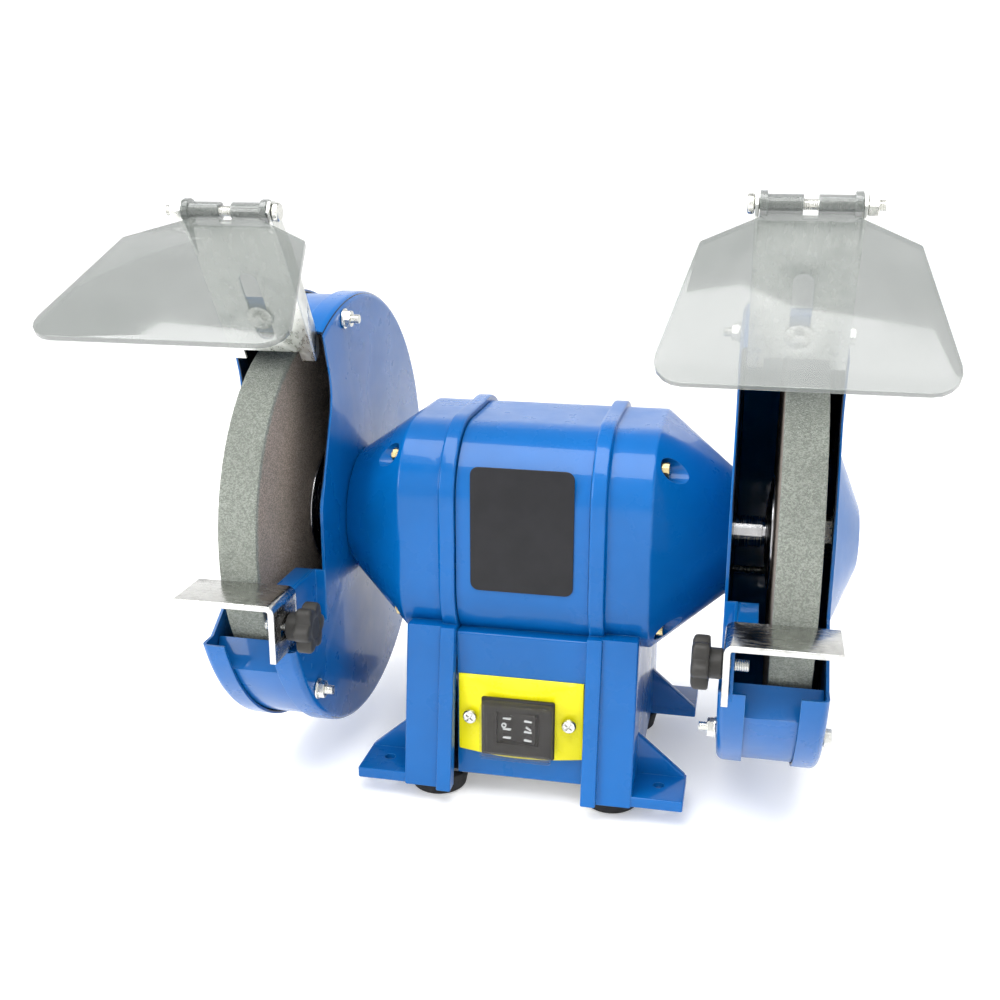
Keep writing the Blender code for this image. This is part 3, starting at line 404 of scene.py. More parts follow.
def copied(name, *nodes, width=0.0002, steps=2):
    """A welded copy of CAD nodes whose edges get a narrow bevel."""
    shape = bmesh.new()
    for node in nodes:
        shape.from_mesh(frame["nodes"][node].data)
    bmesh.ops.remove_doubles(shape, verts=shape.verts, dist=2e-6)
    bmesh.ops.dissolve_limit(shape, angle_limit=radians(1), verts=shape.verts, edges=shape.edges)
    mesh = bpy.data.meshes.new(name)
    shape.to_mesh(mesh)
    shape.free()
    obj = added(name, mesh)
    bevel = obj.modifiers.new("Edges", "BEVEL")
    bevel.width = width
    bevel.segments = steps
    bevel.limit_method = "ANGLE"
    bevel.angle_limit = radians(40)
    bevel.harden_normals = False
    applied(obj)
    obj.data.shade_smooth()
    obj.data.set_sharp_from_angle(angle=radians(38))
    return obj


def dress(obj, material, slot, body, *nodes):
    """Gives a finished piece its material and its body, and hides the nodes that it stands for. slot is not used.
    """
    obj.data.materials.clear()
    obj.data.materials.append(material)
    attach(obj, body)
    if nodes:
        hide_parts(*nodes)
    return obj


def dress_pair(name, obj, material, slot, body, replaced=None):
    """Dresses a right-hand piece and its mirrored twin. body and replaced take the side's name in braces."""
    obj.name = f"right_{name}"
    twin = mirrored(obj, f"left_{name}")
    for side, piece in (("right", obj), ("left", twin)):
        nodes = [replaced.format(side=side)] if replaced else []
        dress(piece, material, slot, body.format(side=side), *nodes)


def thread(name, centre, radius, low, high, pitch=0.0008, axis="X"):
    """A screw thread: radius less depth * |2 frac(h / pitch - t / 2 pi) - 1| at height h and angle t."""
    angle = ring(24)
    height = np.arange(low, high, pitch / 6)
    depth = pitch * 0.5
    phase = (height[:, None] / pitch - angle / (2 * pi)) % 1.0
    reach = radius - depth * np.abs(2 * phase - 1)
    u = centre[0] + reach * np.cos(angle)
    v = centre[1] + reach * np.sin(angle)
    points = placed(PLANE_ACROSS[axis], u, v, height[:, None] + 0 * angle)
    return surface(name, points, caps=True)


def hexagon(name, plane, centre, radius, low, high):
    """A hexagonal nut or head with its corners chamfered by a turned envelope."""
    nut = prism(name, plane, circle(centre, radius, 6), low, high, 0.00015)
    chamfer = radius * 0.14
    profile = [
        (0, low - BITE), (radius - chamfer, low - BITE), (radius + BITE, low + chamfer * 0.6),
        (radius + BITE, high - chamfer * 0.6), (radius - chamfer, high + BITE), (0, high + BITE),
    ]
    envelope = turned("envelope", profile, centre, 48, AXIS_OF[plane])
    return combine(nut, [envelope], "INTERSECT")


# Materials


def new_material(name):
    """A material, its node tree and its shader."""
    made = bpy.data.materials.new(name)
    made.use_nodes = True
    return made, made.node_tree, made.node_tree.nodes["Principled BSDF"]


def node(tree, kind, **values):
    """A shader node. Each value is an input's number, or another node's output to link."""
    made = tree.nodes.new(kind)
    for key, value in values.items():
        socket = made.inputs[key.replace("_", " ")]
        if isinstance(value, bpy.types.NodeSocket):
            tree.links.new(value, socket)
        else:
            socket.default_value = value
    return made


def tinted(colour, factor):
    """A colour times a factor, no channel over one."""
    return tuple(min(channel * factor, 1) for channel in colour)


def object_coordinates(tree, stretch=(1, 1, 1)):
    """Object coordinates, each axis multiplied by its stretch."""
    coordinates = tree.nodes.new("ShaderNodeTexCoord").outputs["Object"]
    return node(tree, "ShaderNodeMapping", Vector=coordinates, Scale=stretch).outputs["Vector"]


def split_coordinates(tree):
    """A node whose outputs are the object coordinates X, Y and Z."""
    coordinates = tree.nodes.new("ShaderNodeTexCoord").outputs["Object"]
    return node(tree, "ShaderNodeSeparateXYZ", Vector=coordinates)


def noise(tree, where, scale, detail=3.0, roughness=0.55):
    """Cloudy noise, from 0 to 1."""
    made = node(
        tree, "ShaderNodeTexNoise", Vector=where, Scale=scale, Detail=detail, Roughness=roughness
    )
    return made.outputs["Fac"]


def math(tree, operation, first, second=0.0):
    """One sum on two numbers or outputs."""
    made = tree.nodes.new("ShaderNodeMath")
    made.operation = operation
    for socket, value in zip(made.inputs, (first, second)):
        if isinstance(value, bpy.types.NodeSocket):
            tree.links.new(value, socket)
        else:
            socket.default_value = value
    return made.outputs["Value"]


def stepped(tree, value, low, high, out_low=0.0, out_high=1.0):
    """A value carried smoothly from one range to another."""
    made = node(
        tree, "ShaderNodeMapRange", Value=value,
        From_Min=low, From_Max=high, To_Min=out_low, To_Max=out_high,
    )
    made.interpolation_type = "SMOOTHSTEP"
    return made.outputs["Result"]


def mixed(tree, factor, first, second):
    """One colour blended into another."""
    made = tree.nodes.new("ShaderNodeMix")
    made.data_type = "RGBA"
    for index, value in ((0, factor), (6, first), (7, second)):
        if isinstance(value, bpy.types.NodeSocket):
            tree.links.new(value, made.inputs[index])
        else:
            made.inputs[index].default_value = value if index == 0 else (*value[:3], 1.0)
    return made.outputs[2]


def bumped(tree, shader, height, distance, strength=1.0, round_edge=0.0):
    """Adds relief to the shader's normal, over a normal that is softened at the edges."""
    bump = node(tree, "ShaderNodeBump", Height=height, Distance=distance, Strength=strength)
    if round_edge:
        bevel = node(tree, "ShaderNodeBevel", Radius=round_edge)
        bevel.samples = 4
        tree.links.new(bevel.outputs["Normal"], bump.inputs["Normal"])
    tree.links.new(bump.outputs["Normal"], shader.inputs["Normal"])


def worn_edge(tree, radius, low=0.03, high=0.25):
    """One along convex and concave edges: how far a rounded normal leans from the true one."""
    bevel = node(tree, "ShaderNodeBevel", Radius=radius)
    bevel.samples = 6
    true_normal = tree.nodes.new("ShaderNodeNewGeometry").outputs["True Normal"]
    product = tree.nodes.new("ShaderNodeVectorMath")
    product.operation = "DOT_PRODUCT"
    tree.links.new(bevel.outputs["Normal"], product.inputs[0])
    tree.links.new(true_normal, product.inputs[1])
    return stepped(tree, math(tree, "SUBTRACT", 1.0, product.outputs["Value"]), low, high)


def guard_painted_shade(tree):
    """Painted shade: one on the faces that a guard turns towards its wheel, which get darkened to near black."""
    split = split_coordinates(tree)
    across = math(tree, "ABSOLUTE", split.outputs["X"])
    deep = math(tree, "GREATER_THAN", across, GUARD_X + SHEET * 0.6)
    within = math(tree, "LESS_THAN", across, COVER_X - SHEET * 0.6)
    behind = stepped(tree, split.outputs["Y"], TAB_REAR + 0.0005, TAB_REAR + 0.0060)
    under = math(tree, "LESS_THAN", from_shaft(tree), GUARD_RADIUS - SHEET * 0.6)
    between = math(tree, "MULTIPLY", deep, within)
    return math(tree, "MULTIPLY", between, math(tree, "MULTIPLY", behind, under))


def enamel_material(colours, name="blue_enamel", guard=False):
    """Glossy enamel: faint orange peel, slow drift of tone and paler paint where it thins on edges. On guards,
    painted shade darkens the faces turned towards the wheel.
    """
    made, tree, shader = new_material(name)
    where = object_coordinates(tree)
    drift = noise(tree, where, 14.0, 4.0)
    base = tuple(colours.paint)
    deep = tinted(base, 0.82)
    tone = mixed(tree, stepped(tree, drift, 0.3, 0.7), deep, base)
    patches = stepped(tree, noise(tree, where, 90.0), 0.35, 0.6)
    edge = math(tree, "MULTIPLY", worn_edge(tree, 0.0006), patches)
    pale = tuple(colours.thin_paint)
    tone = mixed(tree, math(tree, "MULTIPLY", edge, 0.8 if guard else 0.6), tone, pale)
    if guard:
        # painted shade: on guards, the faces turned towards the wheel are darkened to near black
        tone = mixed(tree, guard_painted_shade(tree), tone, tinted(base, 0.06))
    tree.links.new(tone, shader.inputs["Base Color"])
    smears = stepped(tree, noise(tree, where, 35.0, 5.0), 0.35, 0.75, 0.26, 0.38)
    tree.links.new(smears, shader.inputs["Roughness"])
    shader.inputs["Coat Weight"].default_value = 0.36
    shader.inputs["Coat Roughness"].default_value = 0.05
    shader.inputs["Specular IOR Level"].default_value = 0.12
    bumped(tree, shader, noise(tree, where, 420.0, 2.0), 0.00006, 0.5, 0.0005)
    return made


def zinc_material(name, tone, roughness, stretch=(1, 1, 1), stained=1.0):
    """Zinc plated sheet: pale spangle, dark stains and fine drawn lines. stained is how strong they are."""
    made, tree, shader = new_material(name)
    where = object_coordinates(tree)
    cells = node(tree, "ShaderNodeTexVoronoi", Vector=where, Scale=260.0)
    spangle = stepped(tree, cells.outputs["Distance"], 0.0, 1.0, 0.93, 1.03)
    stain = stepped(tree, noise(tree, where, 60.0, 6.0, 0.65), 0.50, 0.72)
    bright = mixed(tree, math(tree, "MULTIPLY", stain, stained), tone, tinted(tone, 0.42))
    scaled = tree.nodes.new("ShaderNodeVectorMath")
    scaled.operation = "SCALE"
    tree.links.new(bright, scaled.inputs[0])
    tree.links.new(spangle, scaled.inputs["Scale"])
    tree.links.new(scaled.outputs["Vector"], shader.inputs["Base Color"])
    shader.inputs["Metallic"].default_value = 1.0
    lines = noise(tree, object_coordinates(tree, stretch), 500.0, 3.0)
    gloss = stepped(tree, lines, 0.3, 0.7, roughness - 0.07, roughness + 0.10)
    tree.links.new(gloss, shader.inputs["Roughness"])
    bumped(tree, shader, lines, 0.000008, 0.4, 0.0003)
    return made


def plastic_material(name, colour, roughness, grain=0.00003, scale=900.0, drift=0.15):
    """Moulded plastic or rubber: fine grain, with a slow drift of tone."""
    made, tree, shader = new_material(name)
    where = object_coordinates(tree)
    factor = stepped(tree, noise(tree, where, 50.0, 4.0), 0.3, 0.7)
    darker = tinted(colour, 1 - drift)
    tree.links.new(mixed(tree, factor, darker, tuple(colour)), shader.inputs["Base Color"])
    shader.inputs["Specular IOR Level"].default_value = 0.25
    gloss = stepped(tree, noise(tree, where, 160.0), 0.3, 0.7, roughness - 0.05, roughness + 0.08)
    tree.links.new(gloss, shader.inputs["Roughness"])
    bumped(tree, shader, noise(tree, where, scale, 2.0), grain, 0.6, 0.0004)
    return made


def from_shaft(tree):
    """How far a point is from the line of the shaft."""
    split = split_coordinates(tree)
    squares = []
    for axis, middle in (("Y", SHAFT_Y), ("Z", AXIS_Z)):
        away = math(tree, "ABSOLUTE", math(tree, "SUBTRACT", split.outputs[axis], middle))
        squares.append(math(tree, "POWER", away, 2.0))
    return math(tree, "SQRT", math(tree, "ADD", *squares))


def stone_material(colours, sizes):
    """Bonded grit: packed grains of three tones, browner on the sides than on the running face."""
    made, tree, shader = new_material("grinding_stone")
    where = object_coordinates(tree)
    per_metre = 1.0 / sizes.grit
    grains = node(tree, "ShaderNodeTexVoronoi", Vector=where, Scale=per_metre)
    shade = node(tree, "ShaderNodeSeparateColor", Color=grains.outputs["Color"])
    face = tuple(colours.stone)
    pick = stepped(tree, shade.outputs["Red"], 0.15, 0.95)
    rim_tone = mixed(tree, pick, tinted(face, 0.74), tinted(face, 1.28))
    side = tuple(colours.stone_side)
    side_tone = mixed(tree, pick, tinted(side, 0.70), tinted(side, 1.35))
    chipped = stepped(tree, noise(tree, where, 300.0), 0.0, 1.0, -0.0012, 0.0012)
    ragged = math(tree, "ADD", from_shaft(tree), chipped)
    on_rim = stepped(tree, ragged, WHEEL_RADIUS - 0.004, WHEEL_RADIUS - 0.0015)
    tone = mixed(tree, on_rim, side_tone, rim_tone)
    clouds = stepped(tree, noise(tree, where, 28.0, 4.0), 0.3, 0.7)
    tone = mixed(tree, math(tree, "MULTIPLY", clouds, 0.25), tone, tinted(face, 0.6))
    tree.links.new(tone, shader.inputs["Base Color"])
    shader.inputs["Roughness"].default_value = 0.92
    pits = noise(tree, where, per_metre * 0.8, 3.0, 0.6)
    bumped(tree, shader, math(tree, "ADD", grains.outputs["Distance"], pits), 0.0005, 0.9)
    return made


def clear_material(name, colour, alpha, roughness):
    """Clear moulded polycarbonate: a faint tint, soft smears and stronger colour along cut edges."""
    made, tree, shader = new_material(name)
    where = object_coordinates(tree)
    smear = stepped(tree, noise(tree, where, 22.0, 5.0), 0.35, 0.75, roughness, roughness + 0.16)
    tree.links.new(smear, shader.inputs["Roughness"])
    haze = stepped(tree, noise(tree, where, 18.0, 3.0), 0.3, 0.75, alpha - 0.03, alpha + 0.05)
    edge = worn_edge(tree, 0.0008, 0.06, 0.25)
    solid = math(tree, "ADD", haze, math(tree, "MULTIPLY", edge, 0.45))
    tree.links.new(math(tree, "MINIMUM", solid, 0.95), shader.inputs["Alpha"])
    pale = tuple(min(channel * 2.2, 0.92) for channel in colour)
    tree.links.new(mixed(tree, edge, tuple(colour), pale), shader.inputs["Base Color"])
    shader.inputs["Coat Weight"].default_value = 0.6
    shader.inputs["Coat Roughness"].default_value = 0.05
    bumped(tree, shader, noise(tree, where, 30.0, 2.0), 0.00008, 0.25)
    return made


def floor_material(colour):
    """Matt studio paper that glows a little, so that it stays white."""
    made, tree, shader = new_material("studio_paper")
    where = object_coordinates(tree)
    tone = mixed(tree, noise(tree, where, 3.0, 4.0), tinted(colour, 0.985), tuple(colour))
    tree.links.new(tone, shader.inputs["Base Color"])
    shader.inputs["Roughness"].default_value = 0.9
    shader.inputs["Emission Color"].default_value = (1.0, 1.0, 1.0, 1.0)
    shader.inputs["Emission Strength"].default_value = 0.28
    bumped(tree, shader, noise(tree, where, 600.0, 2.0), 0.00005, 0.3)
    return made


MATERIALS = {}


def make_materials(colours, sizes):
    """Every finish of the grinder, by name."""
    MATERIALS.update({
        "enamel": enamel_material(colours),
        "guard": enamel_material(colours, "guard_enamel", True),
        "zinc": zinc_material("zinc_plate", (0.66, 0.67, 0.64), 0.30, (1, 1, 0.08), 0.55),
        "bright": zinc_material("rest_steel", (0.58, 0.58, 0.56), 0.20, (0.25, 1, 1), 0.75),
        "fastener": zinc_material("fastener_zinc", (0.66, 0.66, 0.62), 0.26, (1, 1, 1), 0.3),
        "gold": zinc_material("passivated_zinc", (0.72, 0.58, 0.30), 0.28),
        "laminations": zinc_material("laminations", (0.30, 0.31, 0.32), 0.45, (12, 0.2, 0.2)),
        "ground": zinc_material("ground_steel", (0.64, 0.64, 0.65), 0.20, (12, 0.1, 0.1), 0.3),
        "copper": zinc_material("varnished_copper", (0.55, 0.22, 0.09), 0.35, (0.1, 6, 6)),
        "rubber": plastic_material("foot_rubber", (0.016, 0.016, 0.017), 0.72, 0.00006, 700.0),
        "black": plastic_material("black_plastic", tuple(colours.black), 0.38),
        "knob": plastic_material("knob_plastic", (0.030, 0.029, 0.027), 0.42, 0.00005, 800.0),
        "label": plastic_material("name_plate_film", (0.011, 0.011, 0.013), 0.45, 0.00002, 1200.0, 0.3),
        "yellow": plastic_material("yellow_plastic", tuple(colours.plate), 0.30, 0.00001, 500.0, 0.05),
        "marks": plastic_material("white_marks", (0.78, 0.80, 0.80), 0.45, 0.00001, 500.0, 0.05),
        "stone": stone_material(colours, sizes),
        "shield": clear_material("clear_shield", tuple(colours.shield), 0.57, 0.05),
        "window": clear_material("clear_window", (0.06, 0.055, 0.05), 0.14, 0.04),
    })


# Castings


def flare(bottom, top, low, high):
    """The base's side view, in the YZ plane: wider at its foot."""
    return [
        (SHAFT_Y - bottom, low), (SHAFT_Y + bottom, low), (SHAFT_Y + top, high), (SHAFT_Y - top, high),
    ]


def bolt_places():
    """Where the four through bolts run, in the YZ plane."""
    return [
        (SHAFT_Y + y * BOLT_OFFSET, AXIS_Z + z * BOLT_OFFSET) for y in (-1, 1) for z in (-1, 1)
    ]


def make_centre_housing():
    """The middle casting: a tube between the two rings, and the recessed panels of the base."""
    high_x = HOUSING_HIGH.x
    body = loft("centre_casting", [(x, HOUSING_HALF, CORNER) for x in (-high_x, -0.011, 0.011, high_x)])
    front, back = SHAFT_Y - PANEL_FRONT, SHAFT_Y + PANEL_FRONT
    outline = rounded(rectangle(front, HOUSING_LOW.z, back, PANEL_TOP), 0.0015)
    join(body, prism("panel", "YZ", outline, -high_x, high_x, 0))
    inner = HOUSING_HALF - WALL
    end = high_x + PAST
    hollow = loft("hollow", [(x, inner, CORNER - WALL) for x in (-end, end)], 64)
    room_front = PANEL_FRONT - WALL
    room = block("room", (-end, SHAFT_Y - room_front, 0), (end, SHAFT_Y + room_front, ROOM_TOP))
    half, tall = 0.0140, 0.0115
    window = block(
        "window", (-half, front - PAST, SWITCH_Z - tall), (half, front + PAST, SWITCH_Z + tall)
    )
    return cut(body, hollow, room, window)


def make_end_casting():
    """The right end casting: ring, shell and cone, with the pillar, rib, lugs and gussets of the base."""
    ring_corner = CORNER + 0.002
    rows = [
        (CASTING_X, RING_HALF - 0.0006, ring_corner), (CASTING_X + 0.0006, RING_HALF, ring_corner),
        (RING_END_X, RING_HALF, ring_corner), (RING_END_X + 0.0004, HOUSING_HALF, CORNER),
        (BELL_X, HOUSING_HALF, CORNER), (BELL_END_X, BELL_END_RADIUS, BELL_END_RADIUS),
    ]
    outer = loft("end_shell", softened(rows))
    inner, inner_corner = HOUSING_HALF - WALL, CORNER - WALL
    hollow_rows = [
        (CASTING_X - PAST, inner, inner_corner), (BELL_X - 0.012, inner, inner_corner),
        (SEAT_X, 0.0300, 0.0300), (SEAT_X + BITE, SEAT_RADIUS, SEAT_RADIUS),
        (0.0985, SEAT_RADIUS, SEAT_RADIUS),
    ]
    hollow = loft("hollow", hollow_rows, 64)
    pillar_side = flare(BASE_FRONT_BOTTOM, BASE_FRONT_TOP, FOOT_HEIGHT, BASE_TOP)
    pillar = prism("pillar", "YZ", pillar_side, CASTING_X, BASE_SIDE_X, 0.0012)
    rib_side = flare(
        BASE_FRONT_BOTTOM + RIB_PROUD, BASE_FRONT_TOP + RIB_PROUD / 2, FOOT_HEIGHT, BASE_TOP
    )
    rib = prism("rib", "YZ", rib_side, CASTING_X, RING_END_X, 0.0008)
    slope = (BASE_FRONT_BOTTOM - BASE_FRONT_TOP) / (BASE_TOP - FOOT_HEIGHT)
    under = 0.005
    room_low = FOOT_HEIGHT - under
    room_bottom = BASE_FRONT_BOTTOM - WALL + slope * under
    room_upper = room_bottom - slope * (ROOM_TOP - room_low)
    room_side = flare(room_bottom, room_upper, room_low, ROOM_TOP)
    room = prism("room", "YZ", room_side, CASTING_X - PAST, BASE_SIDE_X - WALL, 0)
    lug_top = FOOT_HEIGHT + LUG_THICKNESS
    extras, holes = [], []
    for front in (-1, 1):
        low_y, high_y = sorted((SHAFT_Y + front * LUG_FRONT, SHAFT_Y + front * LUG_BACK))
        lug = rectangle(BASE_SIDE_X - 0.003, low_y, LUG_X, high_y)
        outline = rounded(lug, [0, 0.0012, 0.0012, 0])
        extras.append(prism("lug", "XY", outline, FOOT_HEIGHT, lug_top, 0.0007))
        gusset = [
            (BASE_SIDE_X - 0.002, lug_top - 0.001), (LUG_X - 0.001, lug_top - 0.001),
            (LUG_X - 0.001, lug_top + 0.0008), (BASE_SIDE_X - 0.002, lug_top + GUSSET_HEIGHT),
        ]
        edge = sorted((SHAFT_Y + front * LUG_BACK, SHAFT_Y + front * (LUG_BACK + 0.004)))
        extras.append(prism("gusset", "XZ", gusset, *edge, 0.0008))
        centre = (LUG_HOLE[0], SHAFT_Y + front * LUG_HOLE[1])
        holes.append(prism("hole", "XY", circle(centre, LUG_HOLE_RADIUS), 0, 0.03, 0))
    for place in bolt_places():
        holes.append(prism("pocket", "YZ", circle(place, POCKET_RADIUS, 36), POCKET_FLOOR_X, 0.11, 0))
        holes.append(prism("bolt_hole", "YZ", circle(place, 0.0023, 16), 0.03, 0.08, 0))
    shaft_hole = prism("shaft_hole", "YZ", circle((SHAFT_Y, AXIS_Z), 0.0095), 0.09, 0.12, 0)
    join(outer, pillar, rib, *extras)
    return cut(outer, hollow, room, shaft_hole, *holes)


# Guards


def sheet_outline(path, thickness=SHEET):
    """The closed outline of a bent sheet: its middle line moved half a thickness to either side."""
    left = offset(path, thickness / 2, closed=False)
    right = offset(path, -thickness / 2, closed=False)
    return np.concatenate([left, right[::-1]])


def open_rounded(corners, radii, steps=8):
    """An open path whose inner corners are arcs."""
    return rounded(corners, [0, *radii, 0], steps)


def turned_sheet(name, corners, radii, steps=144):
    """A dish: the outline of a bent sheet, from (radius, x) corners of its middle, turned about the shaft."""
    outline = sheet_outline(open_rounded(corners, radii))
    return turned(name, outline, (SHAFT_Y, AXIS_Z), steps, closed=True)


def mouth(low_edge):
    """The space left open at the front of a guard sheet, down to the points of its lower edge."""
    high = [(-0.3, 0.155), (-0.072, 0.155), (-0.0440, 0.073), (-0.0660, 0.018)]
    corners = [(SHAFT_Y + y, AXIS_Z + z) for y, z in high] + low_edge + [(SHAFT_Y - 0.3, TAB_BOTTOM)]
    radii = [0, 0, 0.030, 0.020] + [0.006] * (len(low_edge) - 1) + [0, 0]
    return prism("mouth", "YZ", rounded(corners, radii, 10), 0.09, 0.2, 0)


def bracket_point(along, behind):
    """A point of the bracket's side view: a distance up its face, and a distance behind the face."""
    return (
        BRACKET_BOTTOM[0] - sin(BRACKET_LEAN) * along + cos(BRACKET_LEAN) * behind,
        BRACKET_BOTTOM[1] + cos(BRACKET_LEAN) * along + sin(BRACKET_LEAN) * behind,
    )


def bracket_room():
    """The space that the guard sheets leave for the shield's bracket."""
    side = [
        bracket_point(-0.04, BRACKET_ROOM), bracket_point(0.06, BRACKET_ROOM),
        (SHAFT_Y - 0.3, AXIS_Z + 0.16), (SHAFT_Y - 0.3, AXIS_Z + 0.06),
    ]
    return prism("room", "YZ", side, GUARD_X + SHEET - BITE, COVER_X - SHEET + BITE, 0)


def polar(radius, angle):
    """A point of the YZ plane at a distance and an angle from the shaft."""
    return (SHAFT_Y + radius * cos(angle), AXIS_Z + radius * sin(angle))


def guard_holes():
    """Cutters for the bolt holes of both guard sheets."""
    return [
        prism("hole", "YZ", circle(polar(GUARD_BOLT_RADIUS, angle), 0.0027, 20), 0.09, 0.2, 0)
        for angle in GUARD_BOLT_ANGLES.values()
    ]


def make_inner_guard():
    """The pressed dish on the motor's side, with the pad and shelf that carry the tool rest."""
    half = SHEET / 2
    rim = GUARD_RADIUS - half
    corners = [(0.0105, GUARD_X + half), (rim, GUARD_X + half), (rim, GUARD_X + FLANGE)]
    dish = turned_sheet("inner_guard", corners, [0.0030])
    cut(dish, mouth([(TAB_REAR, TAB_BOTTOM)]), bracket_room(), *guard_holes())
    lap = 0.0004
    pad_side = rounded(rectangle(TAB_FRONT, TAB_BOTTOM, TAB_REAR, TAB_TOP), [0, 0, 0, 0.005])
    pad = prism("pad", "YZ", pad_side, TAB_X, TAB_X + SHEET, 0.0002)
    rim_y = SHAFT_Y - np.sqrt(GUARD_RADIUS**2 - (AXIS_Z - TAB_BOTTOM) ** 2) + 0.0020
    near, far = GUARD_X + 0.0002, TAB_X + SHEET - 0.0002
    rear_wall = block(
        "rear_wall",
        (near, TAB_REAR - lap, TAB_BOTTOM - 0.0003),
        (far, TAB_REAR + SHEET, TAB_TOP - 0.0002),
        0.0002,
    )
    low_wall = block(
        "low_wall",
        (near + BITE, rim_y, TAB_BOTTOM - SHEET),
        (far - BITE, TAB_REAR + SHEET - 0.0002, TAB_BOTTOM + lap),
        0.0002,
    )
    reach = TAB_X + 0.0110
    middle_x, middle_z = TAB_X + SHEET / 2, TAB_TOP - SHEET / 2
    side = open_rounded([(middle_x, TAB_TOP - 0.008), (middle_x, middle_z), (reach, middle_z)], [0.0022])
    shelf = prism("shelf", "XZ", sheet_outline(side), TAB_FRONT + 0.012, TAB_REAR + 0.0004, 0.0003)
    join(dish, pad, rear_wall, low_wall, shelf)
    return cut(dish, prism("hole", "YZ", circle(STUD, 0.0034), 0.09, 0.2, 0))


def make_outer_cover():
    """The dish outside the wheel: a rim, a flat margin and a soft cone over the end of the shaft."""
    half = SHEET / 2
    rim = GUARD_RADIUS - half
    corners = [
        (0.0, CONE_TIP_X - half), (CONE_TIP_RADIUS, CONE_TIP_X - half), (CONE_BASE_RADIUS, COVER_X - half),
        (rim, COVER_X - half), (rim, COVER_X - FLANGE),
    ]
    path = open_rounded(corners, [0.012, 0.030, 0.0030], 10)
    outline = sheet_outline(path)
    outline[:, 0] = np.maximum(outline[:, 0], 0)
    cover = turned("outer_cover", outline, (SHAFT_Y, AXIS_Z), 144)
    low_edge = [(SHAFT_Y - 0.0660, AXIS_Z - 0.0200), (SHAFT_Y - 0.0990, TAB_BOTTOM)]
    return cut(cover, mouth(low_edge), bracket_room(), *guard_holes())


def make_guard_band():
    """The sheet between the two rims. Its upper end is the bracket's riser and its lower end a flat lip."""
    low_x, high_x = GUARD_X + SHEET + GAP, COVER_X - SHEET - GAP
    middle = BAND_RADIUS - SHEET / 2
    start, stop = radians(115.5), radians(-150)
    sweep = np.linspace(start, stop, 120)
    arc = np.stack([SHAFT_Y + middle * np.cos(sweep), AXIS_Z + middle * np.sin(sweep)], axis=1)
    end = arc[-1]
    lip = np.array([end + (0.0012, 0.0016), end + (0.0078, 0.0132)])
    band = prism("guard_band", "YZ", sheet_outline(np.concatenate([arc, lip])), low_x, high_x, 0.0003)
    riser_low, riser_high = 0.0120, SCREW_ALONG + 0.0095
    near = SHEET + GAP
    far = near + SHEET
    side = [
        bracket_point(riser_low, near), bracket_point(riser_high, near),
        bracket_point(riser_high, far), bracket_point(riser_low, far),
    ]
    inner = BRACKET_INNER_X + SHEET + 2 * GAP
    riser = prism("riser", "YZ", side, inner, BRACKET_OUTER_X - SHEET - 2 * GAP, 0.0003)
    foot_y, foot_z = polar(middle, start - radians(1.5))
    heel = bracket_point(riser_low, near + SHEET / 2)
    link = [
        (foot_y, foot_z - 0.0007), (foot_y, foot_z + 0.0007),
        (heel[0], heel[1] + 0.0010), (heel[0], heel[1] - 0.0006),
    ]
    bridge = prism("link", "YZ", link, GUARD_X + FLANGE + GAP, COVER_X - FLANGE - GAP, 0)
    return join(band, riser, bridge)


# Fasteners, wheels and small parts


def make_guard_bolt(angle):
    """A hexagon-headed bolt through both guard sheets, with a washer and nut on the motor's side."""
    centre = polar(GUARD_BOLT_RADIUS, angle)
    bolt = thread("guard_bolt", centre, BOLT_RADIUS, GUARD_X - 0.0085, COVER_X + 0.0010)
    nut = hexagon("nut", "YZ", centre, NUT_RADIUS, GUARD_X - 0.0045, GUARD_X - 0.0011)
    washer = prism("washer", "YZ", circle(centre, 0.0052, 28), GUARD_X - 0.0012, GUARD_X - GAP, 0.0002)
    head = hexagon("head", "YZ", centre, NUT_RADIUS, COVER_X + GAP, COVER_X + 0.0038)
    return join(bolt, washer, nut, head)


def make_bracket_screw():
    """The hexagon screw that clamps the bracket's slot, with its washer and nut."""
    screw = thread("bracket_screw", (0, 0), 0.0019, -0.0100, 0.0020, 0.0007, "Z")
    washer = prism("washer", "XY", circle((0, 0), 0.0065, 40), GAP, 0.0012, 0.0002)
    head = hexagon("head", "XY", (0, 0), 0.0040, 0.0010, 0.0040)
    nut = hexagon("nut", "XY", (0, 0), 0.0042, -0.0075, -0.0036)
    join(screw, washer, head, nut)
    y, z = bracket_point(SCREW_ALONG, 0)
    forward = Matrix.Rotation(pi / 2 + BRACKET_LEAN, 4, "X")
    return moved_by(screw, Matrix.Translation((MID_X, y, z)) @ forward)


def make_hinge_bolt(side):
    """The shield's pivot: a cap head at one end, a nut and a stretch of thread at the other."""
    _, *centre = JOINTS[f"{side}_shield_tilt"]["pos_m"]
    sign = 1 if side == "right" else -1
    inner, outer = sign * BRACKET_INNER_X, sign * BRACKET_OUTER_X
    span = sorted((inner - sign * 0.0020, outer + sign * 0.0070))
    bolt = thread("hinge_bolt", centre, BOLT_RADIUS, *span)
    head_span = sorted((inner - sign * 0.0033, inner - sign * GAP))
    head = prism("head", "YZ", circle(centre, 0.0042, 40), *head_span, 0.0009)
    nut_span = sorted((outer + sign * GAP, outer + sign * 0.0042))
    nut = hexagon("nut", "YZ", centre, NUT_RADIUS, *nut_span)
    return join(bolt, head, nut)


